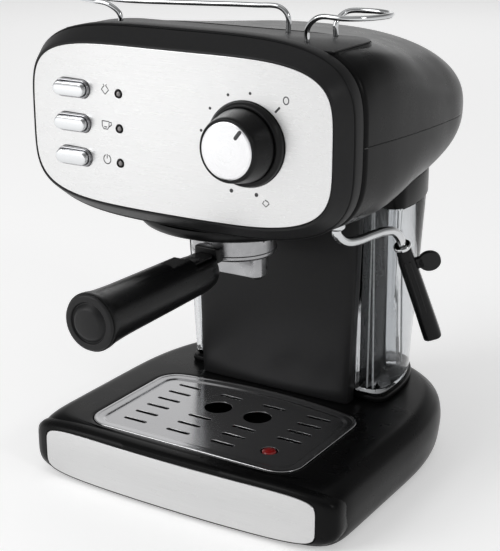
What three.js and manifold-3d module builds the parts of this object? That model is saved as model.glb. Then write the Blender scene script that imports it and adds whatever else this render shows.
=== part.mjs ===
// Home espresso machine with a manual group: a drip base, a narrow column with a
// wrap-around water tank behind it, and a wide brewing head carried over the cup.
// Millimetres. +X is the machine's right as seen from the front, the front faces -Y,
// +Z is up, and z = 0 is the surface that the machine stands on.

import * as THREE from 'three';
import { mergeVertices } from 'three/addons/utils/BufferGeometryUtils.js';
import Module from 'manifold-3d';

const wasm = await Module();
wasm.setup();

// ---------------------------------------------------------------- driving dimensions

const GAP = 0.3; // clearance left between pieces that touch
const WALL = 3; // moulded shell thickness

const BASE = { halfWidth: 122, front: -89.4, middle: 20, rear: 161, top: 42.5, under: 3.2, bow: 5.7 };
const TRIM = { width: 216, height: 34.4, z: 20.3, y: -89.7, power: 6.5, thickness: 1.5 };
const TRAY = { halfWidth: 83, front: -74.5, rear: 30, corner: 17, lean: 0.22, floor: 12, wall: 2 };
const GRILLE = { column: 36.2, row: 13.7, first: -53.4, slot: 18.8, slit: 3.4 };
const CUP_HOLE = { radius: 10, x: 16.4, y: -5 }; // the pair under the spout
const FLOAT = { x: 51, y: -47, head: 4.9 };

const COLUMN = { front: 43, panelBack: 55.7, rear: 121, halfWidth: 57, top: 192.8, spineTop: 206.6 };
const TANK = { front: 59, rear: 163, foot: 42.8, floor: 48, top: 187, wall: 2.4, lidTop: 206.4 };
const RECESS = { halfWidth: 59.5, rear: 124 };

const HEAD = { width: 240, height: 126.8, z: 256.7, crest: -69.4, back: -61.3, bow: 4.4, power: 3.7 };
const FASCIA = { width: 221, height: 102.3, z: 256.9, y: -84.5, bow: 6.7, power: 4.4, thickness: 1.4 };
const SHELF = { z: 310.2, halfWidth: 100, rear: 6 }; // cup shelf sunk in the head's top
const SEAM = { z: 254, slope: -0.0576 }; // line between the upper and lower head shells

const GROUP = { y: -8.5, saucer: 64, saucerUnder: 183.4, collar: 29, bore: 25.6 };
const SPOUT = { top: 161.6, under: 148.2, width: 47, depth: 15, outlet: 18 };
const HANDLE = { z: 160, start: 33, end: 158, radius: 18.2 };
const KNOB = { x: 54.8, z: 256.7, skirt: 25.9, body: 22.4, face: 19.2 };
const BUTTON = { x: -74.8, width: 24.4, height: 8.6, top: 278, pitch: 22.1 };
const LAMP_X = -37.4;
const WAND = { x: 78, y: -10, z: 196.4, heading: 1.2924, tube: 3.1, sleeve: 6.6 };

// ---------------------------------------------------------------- finishes

function finish(color, roughness, metalness = 0) {
  return { color, roughness, metalness };
}

const BLACK = finish(0x1b1b1c, 0.35);
const SATIN_BLACK = finish(0x232324, 0.5);
const STEEL = finish(0xd3d4d6, 0.3, 1);
const CHROME = finish(0xe6e7e9, 0.1, 1);
const ALUMINIUM = finish(0xa9aaad, 0.4, 1);
const BRASS = finish(0xb08a4a, 0.35, 1);
const RUBBER = finish(0x2a2a2a, 0.9);
const SILICONE = finish(0xc9c4b8, 0.6);
const CLEAR = finish(0xdfe5e8, 0.08);
const RED = finish(0xc2201c, 0.45);
const LAMP = finish(0x3c3a3a, 0.2);
const BOARD = finish(0x2d6b3f, 0.5);

// ---------------------------------------------------------------- solids

// Closed solid of a geometry, with shared corners merged and empty faces dropped.
function solidOf(geometry) {
  const bare = geometry.clone();
  bare.deleteAttribute('normal');
  bare.deleteAttribute('uv');
  const merged = mergeVertices(bare, 1e-4);
  const index = merged.index.array;
  const kept = [];
  for (let i = 0; i < index.length; i += 3) {
    const [a, b, c] = [index[i], index[i + 1], index[i + 2]];
    if (a !== b && b !== c && c !== a) kept.push(a, b, c);
  }
  const vertProperties = merged.attributes.position.array;
  return new wasm.Manifold(new wasm.Mesh({ numProp: 3, vertProperties, triVerts: new Uint32Array(kept) }));
}

function geometryOf(solid) {
  const { vertProperties, triVerts } = solid.getMesh();
  const geometry = new THREE.BufferGeometry();
  geometry.setAttribute('position', new THREE.BufferAttribute(vertProperties, 3));
  geometry.setIndex(new THREE.BufferAttribute(triVerts, 1));
  geometry.computeVertexNormals();
  return geometry;
}

function cut(geometry, ...tools) {
  let solid = solidOf(geometry);
  for (const tool of tools) solid = solid.subtract(solidOf(tool));
  return geometryOf(solid);
}

function join(...geometries) {
  let solid = solidOf(geometries[0]);
  for (const other of geometries.slice(1)) solid = solid.add(solidOf(other));
  return geometryOf(solid);
}

function common(geometry, keep) {
  return geometryOf(solidOf(geometry).intersect(solidOf(keep)));
}

// Box between two corners.
function box(x0, x1, y0, y1, z0, z1) {
  const block = new THREE.BoxGeometry(x1 - x0, y1 - y0, z1 - z0);
  return block.translate((x0 + x1) / 2, (y0 + y1) / 2, (z0 + z1) / 2);
}

// Solid of revolution about Z from [radius, z] points.
function turned(profile, segments = 24) {
  const points = profile.map(([radius, z]) => new THREE.Vector2(radius, z));
  return new THREE.LatheGeometry(points, segments).rotateX(Math.PI / 2);
}

function disc(radius, z0, z1, segments = 24) {
  return turned([[0, z0], [radius, z0], [radius, z1], [0, z1]], segments);
}

function sleeve(inner, outer, z0, z1, segments = 24) {
  return turned([[inner, z0], [outer, z0], [outer, z1], [inner, z1], [inner, z0]], segments);
}

// The same solid with its +Z end turned to face the front.
function facingFront(geometry) {
  return geometry.rotateX(Math.PI / 2);
}

// Solid between rings of matching points. Point i of a ring mirrors point (count - i),
// so the two ends close with strips that follow a bowed face.
function loft(rings) {
  const count = rings[0].length;
  const index = [];
  for (let r = 0; r + 1 < rings.length; r += 1) {
    for (let i = 0; i < count; i += 1) {
      const a = r * count + i;
      const b = r * count + ((i + 1) % count);
      index.push(a, b, b + count, a, b + count, a + count);
    }
  }
  const last = (rings.length - 1) * count;
  for (let i = 0; i < count / 2; i += 1) {
    const far = (count - i) % count;
    const next = count - i - 1;
    if (far !== i) index.push(i, far, next, last + i, last + next, last + far);
    if (next !== i + 1) index.push(i, next, i + 1, last + i, last + i + 1, last + next);
  }
  const geometry = new THREE.BufferGeometry();
  geometry.setFromPoints(rings.flat());
  geometry.setIndex(index);
  return facingOut(geometry);
}

// Reverses every face when the surface would enclose a negative volume.
function facingOut(geometry) {
  const p = geometry.attributes.position;
  const index = geometry.index.array;
  const [a, b, c] = [new THREE.Vector3(), new THREE.Vector3(), new THREE.Vector3()];
  let volume = 0;
  for (let i = 0; i < index.length; i += 3) {
    a.fromBufferAttribute(p, index[i]);
    b.fromBufferAttribute(p, index[i + 1]);
    c.fromBufferAttribute(p, index[i + 2]);
    volume += a.dot(b.cross(c));
  }
  if (volume < 0) geometry.setIndex(Array.from(index).reverse());
  return geometry;
}

// Points of a squared ellipse; a higher power gives squarer corners.
function squircle(width, height, power, count = 32) {
  const points = [];
  for (let i = 0; i < count; i += 1) {
    const angle = (2 * Math.PI * i) / count;
    const [c, s] = [Math.cos(angle), Math.sin(angle)];
    const x = (width / 2) * Math.sign(c) * Math.abs(c) ** (2 / power);
    const y = (height / 2) * Math.sign(s) * Math.abs(s) ** (2 / power);
    points.push(new THREE.Vector2(x, y));
  }
  return points;
}

// Upright ring that faces the front, its ends set back by bow.
function uprightRing({ width, height, power, y, z, bow = 0 }) {
  const place = (p) => new THREE.Vector3(p.x, y + bow * ((2 * p.x) / width) ** 2, z + p.y);
  return squircle(width, height, power).map(place);
}

function roundedRectangle(width, depth, radius) {
  const [x, y] = [width / 2, depth / 2];
  const shape = new THREE.Shape();
  shape.moveTo(-x + radius, -y);
  shape.lineTo(x - radius, -y);
  shape.absarc(x - radius, -y + radius, radius, -Math.PI / 2, 0);
  shape.absarc(x - radius, y - radius, radius, 0, Math.PI / 2);
  shape.absarc(-x + radius, y - radius, radius, Math.PI / 2, Math.PI);
  shape.absarc(-x + radius, -y + radius, radius, Math.PI, Math.PI * 1.5);
  return shape;
}

function slab(shape, z0, z1, curveSegments = 3) {
  const options = { depth: z1 - z0, bevelEnabled: false, curveSegments };
  return new THREE.ExtrudeGeometry(shape, options).translate(0, 0, z0);
}

// Pill-shaped bar along Y, its long side across the front.
function pill(width, height, y0, y1) {
  const bar = slab(roundedRectangle(width, height, height / 2 - 0.01), 0, y1 - y0);
  return facingFront(bar).translate(0, y1, 0);
}

// Round bar that follows a smooth curve through the points.
function wire(points, radius, steps) {
  const section = new THREE.Shape();
  section.absarc(0, 0, radius, 0, 2 * Math.PI);
  const path = new THREE.CatmullRomCurve3(points.map((p) => new THREE.Vector3(...p)));
  const options = { steps, bevelEnabled: false, extrudePath: path, curveSegments: 4 };
  return new THREE.ExtrudeGeometry(section, options);
}

function add(parent, name, geometry, look) {
  const mesh = new THREE.Mesh(geometry, new THREE.MeshStandardMaterial(look));
  mesh.name = name;
  parent.add(mesh);
  return mesh;
}

function subassembly(parent, x, y, z) {
  const group = new THREE.Group();
  group.position.set(x, y, z);
  parent.add(group);
  return group;
}

// ---------------------------------------------------------------- base and drip tray

// Plan of the base: square front corners, a wide round back, inset on each side.
function basePlan(z, side, front, back) {
  const reach = { front: BASE.middle - BASE.front - front, back: BASE.rear - BASE.middle - back };
  const halfWidth = BASE.halfWidth - side;
  const count = 32;
  const ring = [];
  for (let i = 0; i < count; i += 1) {
    const angle = (2 * Math.PI * i) / count;
    const [c, s] = [Math.cos(angle), Math.sin(angle)];
    const power = s < 0 ? 14 : 2.6;
    const x = halfWidth * Math.sign(c) * Math.abs(c) ** (2 / power);
    const depth = (s < 0 ? -reach.front : reach.back) * Math.abs(s) ** (2 / power);
    const bow = s < 0 ? BASE.bow * (x / halfWidth) ** 2 * (depth / -reach.front) : 0;
    ring.push(new THREE.Vector3(x, BASE.middle + depth + bow, z));
  }
  return ring;
}

// The base's side: tucked in below, widest at two thirds of its height, rolled over on top.
function baseBlock(inset, bottom, top) {
  const levels = [
    [BASE.under, 14, 3, 8],
    [12, 6.5, 0.5, 4],
    [20, 2.5, 0, 1.5],
    [28, 0, 0, 0],
    [36, 3, 1.6, 3],
    [40.6, 8.4, 4.6, 8.4],
    [BASE.top, 17, 10, 17],
  ];
  const clamp = (z) => Math.min(Math.max(z, bottom), top);
  return loft(levels.map(([z, side, front, back]) =>
    basePlan(clamp(z), side + inset, front + inset, back + inset)));
}

// Plan of the tray: round corners, and a rear edge that bows out towards the column.
function trayPlan(grow) {
  const { lean } = TRAY;
  const radius = TRAY.corner + grow;
  const x = TRAY.halfWidth - TRAY.corner;
  const [front, rear] = [TRAY.front + TRAY.corner, TRAY.rear - TRAY.corner];
  const edge = { x: x + radius * Math.sin(lean), y: rear + radius * Math.cos(lean) };
  const plan = new THREE.Shape();
  plan.absarc(x, front, radius, -Math.PI / 2, 0);
  plan.absarc(x, rear, radius, 0, Math.PI / 2 - lean);
  plan.quadraticCurveTo(0, edge.y + edge.x * Math.tan(lean), -edge.x, edge.y);
  plan.absarc(-x, rear, radius, Math.PI / 2 + lean, Math.PI);
  plan.absarc(-x, front, radius, Math.PI, Math.PI * 1.5);
  return plan;
}

function traySlab(grow, z0, z1) {
  return slab(trayPlan(grow), z0, z1);
}

function buildBase(machine) {
  const shell = baseBlock(0, 0, BASE.top);
  const room = cut(baseBlock(WALL + 1, BASE.under - 1, BASE.top - WALL), traySlab(3, TRAY.floor - 3.5, 60));
  const well = traySlab(0.6, TRAY.floor - 1, 60);
  const cordHole = facingFront(disc(6.4, -20, 20, 16)).translate(0, BASE.rear, 20);
  add(machine, 'base_housing', cut(shell, room, well, cordHole), BLACK);

  const cover = [basePlan(BASE.under, 19, 8, 13), basePlan(BASE.under + 2.2, 18.6, 7.6, 12.6)];
  add(machine, 'base_bottom_cover', loft(cover), SATIN_BLACK);

  const corners = [[-82, -62], [82, -62], [-66, 118], [66, 118]];
  const foot = turned([[0, 0], [8, 0], [9, 1], [9, BASE.under - GAP], [0, BASE.under - GAP]], 20);
  corners.forEach(([x, y], i) => {
    add(machine, `foot_${i + 1}`, foot.clone(), RUBBER).position.set(x, y, 0);
  });

  const face = { ...TRIM, bow: BASE.bow * (TRIM.width / (2 * BASE.halfWidth)) ** 2 };
  const front = uprightRing({ ...face, y: TRIM.y - TRIM.thickness });
  add(machine, 'base_front_trim', loft([front, uprightRing(face)]), STEEL);

  const bush = turned([[0, 0], [9, 0], [9, 2.5], [6, 3], [4.6, 6.4], [0, 6.4]], 16);
  bush.rotateX(-Math.PI / 2).translate(0, BASE.rear + 0.4, 20);
  add(machine, 'cord_gland', bush, RUBBER);
}

// The slots stand in four columns and six rows; the round holes and the float's hole
// take the place of some of them.
function grilleSlots() {
  const rowsOfColumn = [[0, 1, 2, 3, 4, 5], [0, 1, 2, 5], [0, 1, 2, 5], [2, 3, 4, 5]];
  return rowsOfColumn.flatMap((rows, column) => rows.map((row) => {
    const x = (column - 1.5) * GRILLE.column;
    const y = GRILLE.first + row * GRILLE.row;
    const [long, wide] = [GRILLE.slot / 2, GRILLE.slit / 2];
    return box(x - long, x + long, y - wide, y + wide, 30, 60);
  }));
}

function buildDripTray(machine) {
  const rim = BASE.top - 3.2;
  const tub = cut(traySlab(0, TRAY.floor, rim), traySlab(-TRAY.wall, TRAY.floor + TRAY.wall, 60));
  add(machine, 'drip_tray', tub, SATIN_BLACK);

  const sheet = traySlab(0, rim + GAP, BASE.top + 0.4);
  const pan = traySlab(-8, BASE.top - 1.2, 60);
  const hole = (side) => disc(CUP_HOLE.radius, 30, 60, 16).translate(side * CUP_HOLE.x, CUP_HOLE.y, 0);
  const holes = [hole(-1), hole(1)];
  const floatHole = disc(FLOAT.head + 1.1, 30, 60, 14).translate(FLOAT.x, FLOAT.y, 0);
  add(machine, 'drip_grille', cut(sheet, pan, ...grilleSlots(), ...holes, floatHole), STEEL);

  const buoy = turned([
    [0, 14.6], [11, 14.6], [11, 22], [3.4, 24], [3.4, 38], [FLOAT.head, 39], [FLOAT.head, 41.6], [0, 42.6],
  ], 20);
  buoy.translate(FLOAT.x, FLOAT.y, 0);
  add(machine, 'water_level_float', buoy, RED);
}

// ---------------------------------------------------------------- column and tank

function columnPanelRing(z, halfWidth) {
  const depth = COLUMN.panelBack - COLUMN.front;
  const place = (p) => new THREE.Vector3(p.x, (COLUMN.front + COLUMN.panelBack) / 2 + p.y, z);
  return squircle(2 * halfWidth, depth, 9, 24).map(place);
}

function buildColumn(machine) {
  const { halfWidth, rear, panelBack } = COLUMN;
  const foot = BASE.top + GAP;
  const middle = (panelBack + rear) / 2 + 0.2;
  const depth = rear - panelBack - 0.4;
  const plan = roundedRectangle(2 * halfWidth, depth, 9);
  const body = slab(plan, foot, COLUMN.spineTop).translate(0, middle, 0);
  const room = box(-halfWidth + WALL, halfWidth - WALL, 0, rear - WALL, 0, 300);
  const inlet = disc(7.3, -20, 20, 18).rotateX(Math.PI / 2).translate(0, rear, 66);
  add(machine, 'column_spine', cut(body, room, inlet), BLACK);

  const panel = loft([columnPanelRing(foot, 62), columnPanelRing(COLUMN.top, 67)]);
  add(machine, 'column_front_panel', panel, SATIN_BLACK);

  const socket = sleeve(5.4, 7, 0, 9, 18).rotateX(Math.PI / 2).translate(0, rear + 1.5, 66);
  add(machine, 'tank_inlet_socket', socket, RUBBER);
}

// Outer plan of the tank: flat front corners, round back, wider towards the top.
function tankPlan(z, grow) {
  const flare = 9 * ((z - TANK.floor) / (TANK.top - TANK.floor));
  const halfWidth = 81 + flare + grow;
  const front = TANK.front - grow;
  const rear = TANK.rear + grow;
  const half = new THREE.CurvePath();
  const at = (x, y) => new THREE.Vector2(x, y);
  half.add(new THREE.LineCurve(at(0, front), at(halfWidth - 9, front)));
  half.add(new THREE.QuadraticBezierCurve(
    at(halfWidth - 9, front),
    at(halfWidth, front),
    at(halfWidth, front + 11),
  ));
  half.add(new THREE.CubicBezierCurve(
    at(halfWidth, front + 11),
    at(halfWidth + 3, front + 54),
    at(halfWidth - 12, rear),
    at(0, rear),
  ));
  const steps = 15;
  const right = [];
  for (let i = 0; i <= steps; i += 1) right.push(half.getPoint(i / steps));
  const left = right.slice(1, -1).reverse().map((p) => at(-p.x, p.y));
  return [...right, ...left].map((p) => new THREE.Vector3(p.x, p.y, z));
}

function tankBlock(z0, z1, grow) {
  return loft([tankPlan(z0, grow), tankPlan(z1, grow)]);
}

// The notch that lets the tank slide on round the column.
function notch(grow, z0 = 0, z1 = 300) {
  const { halfWidth, rear } = RECESS;
  return box(-halfWidth - grow, halfWidth + grow, 0, rear + grow, z0, z1);
}

function buildTank(machine) {
  const inside = cut(tankBlock(TANK.floor + TANK.wall, TANK.top + 5, -TANK.wall), notch(TANK.wall));
  const nozzleHole = disc(4.4, -20, 20, 16).rotateX(Math.PI / 2).translate(0, RECESS.rear + 4, 66);
  const vessel = cut(tankBlock(TANK.floor, TANK.top, 0), notch(0), inside, nozzleHole);
  add(machine, 'water_tank', vessel, CLEAR);

  const foot = cut(tankBlock(TANK.foot, TANK.floor - GAP, 2), notch(0));
  add(machine, 'tank_foot', foot, BLACK);

  const lid = cut(tankBlock(TANK.top + GAP, TANK.lidTop, 0.5), notch(0.4));
  add(machine, 'tank_lid', lid, BLACK);

  const nozzle = turned([[0, 0], [4, 0], [4, 5], [4.9, 5.3], [4.9, 9], [0, 9]], 16);
  nozzle.rotateX(Math.PI / 2).translate(0, RECESS.rear + 3.6, 66);
  add(machine, 'tank_outlet_nozzle', nozzle, SATIN_BLACK);
}

// ---------------------------------------------------------------- head shells

// Sections of the head from front to back: [y, half width, top, underside, power].
const HEAD_SECTIONS = [
  [HEAD.back + GAP, 120.5, 319.2, 193.4, 3.7],
  [-10, 121, 313.8, 193.4, 4],
  [40, 119, 308.8, 194, 3],
  [75, 116, 306.2, 196, 2.8],
  [105, 112, 303.6, 200, 2.6],
  [132, 102, 296.5, 205, 2.5],
  [152, 86, 285, 212, 2.4],
  [164, 66, 271, 220, 2.3],
  [170, 42, 256, 230, 2.2],
];

function headBlock(inset) {
  const ringAt = ([y, halfWidth, top, under, power], i) => uprightRing({
    width: 2 * (halfWidth - inset),
    height: top - under - 2 * inset,
    power,
    y: i === 0 && inset > 0 ? y - 5 : y - inset * (i / (HEAD_SECTIONS.length - 1)),
    z: (top + under) / 2,
    bow: i === 0 ? HEAD.bow : 0,
  });
  return loft(HEAD_SECTIONS.map(ringAt));
}

// Everything above the seam line, which falls gently towards the back.
function aboveSeam(clearance) {
  const block = box(-200, 200, -300, 300, 0, 200);
  block.rotateX(Math.atan(SEAM.slope));
  return block.translate(0, 0, SEAM.z + clearance);
}

function buildHeadShells(machine) {
  const shelfCut = (grow) => box(
    -SHELF.halfWidth - grow, SHELF.halfWidth + grow, -90, SHELF.rear + grow, SHELF.z - grow, 400);
  const tankCut = (grow) => box(-200, 200, COLUMN.panelBack - grow, 400, 0, TANK.lidTop + 0.8 + grow);
  const outside = cut(headBlock(0), shelfCut(0), tankCut(0));
  const inside = cut(headBlock(WALL), shelfCut(WALL), tankCut(WALL));
  const shell = cut(outside, inside);
  add(machine, 'head_upper_shell', common(shell, aboveSeam(0.2)), BLACK);

  const groupHole = disc(31.2, 150, 230).translate(0, GROUP.y, 0);
  const columnHole = box(-50, 50, 64, 112, 150, 230);
  const wandHole = disc(5.6, 150, 230, 12).translate(WAND.x, WAND.y, 0);
  const lower = cut(shell, aboveSeam(-0.2), groupHole, columnHole, wandHole);
  add(machine, 'head_lower_shell', lower, BLACK);
}

// Openings in the fascia and in the bezel behind it for the controls.
function controlHoles() {
  const holes = [facingFront(disc(KNOB.skirt + 0.4, 0, 40, 28)).translate(KNOB.x, -60, KNOB.z)];
  for (let i = 0; i < 3; i += 1) {
    const z = BUTTON.top - i * BUTTON.pitch;
    holes.push(pill(BUTTON.width + 3.8, BUTTON.height + 3.8, -100, -60).translate(BUTTON.x, 0, z));
    holes.push(facingFront(disc(3, 0, 40, 10)).translate(LAMP_X, -60, z));
  }
  return holes;
}

function buildHeadFront(machine) {
  const outline = { width: HEAD.width, height: HEAD.height, power: HEAD.power, z: HEAD.z, bow: HEAD.bow };
  const lip = { ...FASCIA, width: FASCIA.width + 4, height: FASCIA.height + 4 };
  const bezel = loft([
    uprightRing({ ...lip, y: FASCIA.y + 0.6 }),
    uprightRing({ ...outline, y: HEAD.crest }),
    uprightRing({ ...outline, y: HEAD.back }),
  ]);
  const seat = { ...FASCIA, width: FASCIA.width + 0.6, height: FASCIA.height + 0.6 };
  const pocket = loft([uprightRing({ ...seat, y: -120 }), uprightRing({ ...seat, y: FASCIA.y + 1.8 })]);
  const hollow = { ...outline, width: HEAD.width - 2 * WALL, height: HEAD.height - 2 * WALL };
  const room = loft([
    uprightRing({ ...FASCIA, y: FASCIA.y + 5 }),
    uprightRing({ ...hollow, y: HEAD.crest }),
    uprightRing({ ...hollow, y: -50 }),
  ]);
  add(machine, 'head_front_bezel', cut(bezel, pocket, room, ...controlHoles()), BLACK);

  const sheet = loft([uprightRing(FASCIA), uprightRing({ ...FASCIA, y: FASCIA.y + FASCIA.thickness })]);
  add(machine, 'head_fascia', cut(sheet, ...controlHoles()), STEEL);
}

function buildCupShelf(machine) {
  const sheet = slab(roundedRectangle(196, 61, 6), SHELF.z + GAP, SHELF.z + 1.5).translate(0, -26, 0);
  add(machine, 'cup_shelf_plate', common(sheet, headBlock(1)), SATIN_BLACK);

  const foot = SHELF.z + 1.9;
  const rightRail = [
    [67, -31, foot], [67.2, -31, 320], [75, -32, 327], [92.6, -32, 327.4], [104, -22, 327.4],
    [108.4, -5, 327.2], [103, 8, 327], [87, 12, 327], [73, 8, 326], [70.5, -0.8, 320], [70.5, -1, foot],
  ];
  add(machine, 'cup_rail_right', wire(rightRail, 1.7, 30), CHROME);
  const leftRail = [
    [-69, -37, foot], [-69.6, -37.2, 320], [-77, -39, 326], [-96, -37, 327.4], [-106, -31, 327.4],
    [-108.6, -22, 326.6], [-102, -14, 325.8], [-80, -11.6, 325.4], [-30, -8, 326.6], [14, -5.4, 327.8],
    [32, -4, 327.4], [37.4, -3.4, 322], [37.6, -3.2, foot],
  ];
  add(machine, 'cup_rail_left', wire(leftRail, 1.7, 34), CHROME);
}

// ---------------------------------------------------------------- controls

function fasciaAt(x) {
  return FASCIA.y + FASCIA.bow * ((2 * x) / FASCIA.width) ** 2;
}

function buildKnob(machine) {
  const knob = subassembly(machine, KNOB.x, -79, KNOB.z);
  const skirt = turned([[5, 0], [KNOB.skirt, 0], [KNOB.skirt, 6.2], [24, 7.6], [5, 7.6], [5, 0]], 28);
  add(knob, 'knob_skirt', facingFront(skirt), BLACK);
  const body = turned([
    [0, 8], [KNOB.body, 8], [KNOB.body, 10], [KNOB.face + 0.8, 23], [KNOB.face, 24.6],
    [KNOB.face - 1.6, 24.6], [KNOB.face - 1.6, 23.6], [0, 23.6],
  ], 28);
  add(knob, 'steam_knob', facingFront(body), BLACK);
  add(knob, 'knob_cap', facingFront(disc(KNOB.face - 1.9, 23.9, 25.4)), ALUMINIUM);
  add(knob, 'knob_spindle', facingFront(disc(3, -14, 7.7, 14)), BRASS);
  const valve = turned([[0, -42], [11, -42], [11, -9], [3.4, -9], [3.4, -15], [0, -15]], 20);
  add(knob, 'steam_valve', facingFront(valve), BRASS);
}

function buildButtons(machine) {
  const names = ['steam', 'brew', 'power'];
  names.forEach((name, i) => {
    const z = BUTTON.top - i * BUTTON.pitch;
    const place = subassembly(machine, BUTTON.x, 0, z);
    const outer = pill(BUTTON.width + 3, BUTTON.height + 3, -84.2, -77.5);
    const inner = pill(BUTTON.width + 0.8, BUTTON.height + 0.8, -100, -60);
    add(place, `button_collar_${name}`, cut(outer, inner), CHROME);
    add(place, `button_${name}`, pill(BUTTON.width, BUTTON.height, -87.6, -75.4), CHROME);
    const lamp = disc(2.6, 0, 5.4, 10).translate(LAMP_X - BUTTON.x, 0, 0);
    add(place, `lamp_${name}`, facingFront(lamp).translate(0, fasciaAt(LAMP_X) + 4.8, 0), LAMP);
  });
  add(machine, 'control_board', box(-104, -24, -72, -70.4, 222, 290), BOARD);
}

// ---------------------------------------------------------------- brewing group

function buildGroup(machine) {
  const group = subassembly(machine, 0, GROUP.y, 0);
  const under = GROUP.saucerUnder;
  const saucer = turned([
    [31.5, under + 0.3], [42, under], [56, under + 0.8], [61, under + 2.6], [GROUP.saucer, under + 6],
    [GROUP.saucer - 0.6, under + 9.6], [31.5, under + 9.6], [31.5, under + 0.3],
  ], 36);
  const columnClear = box(-100, 100, COLUMN.front - GAP - GROUP.y, 100, 0, 300);
  add(group, 'group_saucer', cut(saucer, columnClear), BLACK);
  const head = turned([[0, 187], [24.8, 187], [24.8, 191], [30.8, 191.4], [30.8, 206], [0, 206]]);
  add(group, 'group_head', head, ALUMINIUM);
  add(group, 'group_gasket', sleeve(18, 24.6, 183.2, 186.7), RUBBER);
  add(group, 'shower_screen', turned([[0, 184.8], [17.6, 184.8], [17.6, 186.6], [0, 186.6]]), STEEL);
  add(group, 'shower_screw', disc(3, 183, 184.5, 12), STEEL);
  const boiler = turned([
    [0, 206.4], [34, 206.4], [34, 214], [29, 215], [29, 246], [34, 247], [34, 255], [24, 262], [0, 264],
  ]);
  add(group, 'boiler', boiler, ALUMINIUM);
}

// Body of the handle along its own axis, with a flat step on top next to the group.
function handleBarrel() {
  const { start, end, radius } = HANDLE;
  const barrel = turned([
    [0, start + 3], [10, start + 3], [13.2, start + 6], [14.6, start + 14], [15.4, 85],
    [16.2, 135], [17.4, end - 8], [radius, end - 3], [radius, end], [0, end],
  ]);
  return facingFront(barrel);
}

// Flat block under the bowl: an open channel shares the coffee between two outlets.
function twinSpout() {
  const { top, under, width, depth, outlet } = SPOUT;
  const block = slab(roundedRectangle(width, depth, depth / 3), under, top);
  const outlets = [-outlet, outlet].map((x) => disc(3.6, under - 2.6, under + 1, 14).translate(x, 0, 0));
  const bores = [-outlet, outlet].map((x) => disc(1.8, under - 9, under + 9, 10).translate(x, 0, 0));
  const channel = box(-outlet - 2, outlet + 2, -3, 3, under + 4, top + 9);
  return cut(join(block, ...outlets), channel, ...bores);
}

function buildPortafilter(machine) {
  const group = subassembly(machine, 0, GROUP.y, 0);
  const { collar, bore } = GROUP;
  const bowl = turned([
    [3, 161.9], [24, 161.9], [27.6, 162.6], [collar, 164.2], [collar, 189], [bore, 189],
    [bore, 181.2], [19.6, 180.8], [19.6, 164.4], [3, 164.4], [3, 161.9],
  ], 28);
  add(group, 'portafilter_bowl', bowl, ALUMINIUM);
  const basket = turned([
    [0, 164.8], [18.4, 164.8], [19.2, 166], [19.2, 181.5], [25.2, 181.5], [25.2, 182.6], [18.4, 182.6],
    [18.4, 166], [17.6, 165.6], [0, 165.6],
  ]);
  add(group, 'filter_basket', basket, STEEL);
  add(group, 'portafilter_spout', twinSpout(), ALUMINIUM);

  const handle = subassembly(group, 0, 0, HANDLE.z);
  const collarClear = disc(collar + 0.6, -60, 60, 28);
  const neck = cut(box(-9.5, 9.5, -HANDLE.start - 2.6, -collar + 6, 3.9, 14), collarClear);
  add(handle, 'portafilter_neck', neck, SATIN_BLACK);
  const step = box(-30, 30, -HANDLE.start - 29, 0, 7.6, 40);
  add(handle, 'portafilter_handle', cut(handleBarrel(), step), SATIN_BLACK);
  const cap = turned([
    [0, HANDLE.end + GAP], [17.4, HANDLE.end + GAP], [17.4, HANDLE.end + 1.6], [14, HANDLE.end + 3],
    [7, HANDLE.end + 4], [0, HANDLE.end + 4.3],
  ]);
  add(handle, 'handle_end_cap', facingFront(cap), SATIN_BLACK);
  add(handle, 'basket_clip', box(-7, 7, -60, -HANDLE.start - 3.2, 8, 10.4), BLACK);
}

// ---------------------------------------------------------------- steam wand

// In the wand's own frame +X runs along its reach and z = 0 is the head's underside.
function buildWand(machine) {
  const wand = subassembly(machine, WAND.x, WAND.y, WAND.z);
  const nut = turned([
    [3.7, -7], [5, -7], [6.2, -5.4], [6.2, -1.7], [5, -1.7], [5, 6], [3.7, 6], [3.7, -7],
  ], 20);
  add(wand, 'wand_nut', nut, CHROME);

  wand.rotation.z = WAND.heading;
  const top = new THREE.Vector3(65.5, 0, -30.6);
  const tip = new THREE.Vector3(101.9, 0, -105.4);
  const along = tip.clone().sub(top).normalize();
  const on = (distance) => top.clone().addScaledVector(along, distance).toArray();
  const path = [
    [0, 0, 5], [0, 0, -5.4], [2, 0, -11.4], [9, 0, -16.8], [20, 0, -18.4], [34, 0, -17.6], [47, 0, -17.4],
    [57, 0, -19.6], on(-6), on(0), on(12), on(40), on(79),
  ];
  add(wand, 'steam_wand', wire(path, WAND.tube, 36), CHROME);

  const holder = subassembly(wand, top.x, 0, top.z);
  holder.rotation.y = Math.atan2(along.x, along.z);
  const long = top.distanceTo(tip);
  const frother = turned([
    [3.9, 3], [5.2, 3], [WAND.sleeve - 0.6, 30], [WAND.sleeve, long - 2], [WAND.sleeve - 1.4, long],
    [3.9, long], [3.9, 3],
  ], 20);
  add(holder, 'frother_sleeve', frother, SATIN_BLACK);
  add(holder, 'sleeve_ring', sleeve(3.9, 6.2, -0.4, 2.7, 20), CHROME);
  const tab = disc(7.8, -1.7, 1.7, 20).rotateY(Math.PI / 2).translate(0, -14.4, 19);
  const stem = box(-1.7, 1.7, -10, 0, 14, 22);
  const sleeveClear = disc(6.5, -20, 60, 20);
  const tongue = cut(join(tab, stem), sleeveClear).rotateZ(-Math.PI / 4);
  add(holder, 'wand_grip_tab', tongue, SATIN_BLACK);
}

// ---------------------------------------------------------------- inside the column

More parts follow.
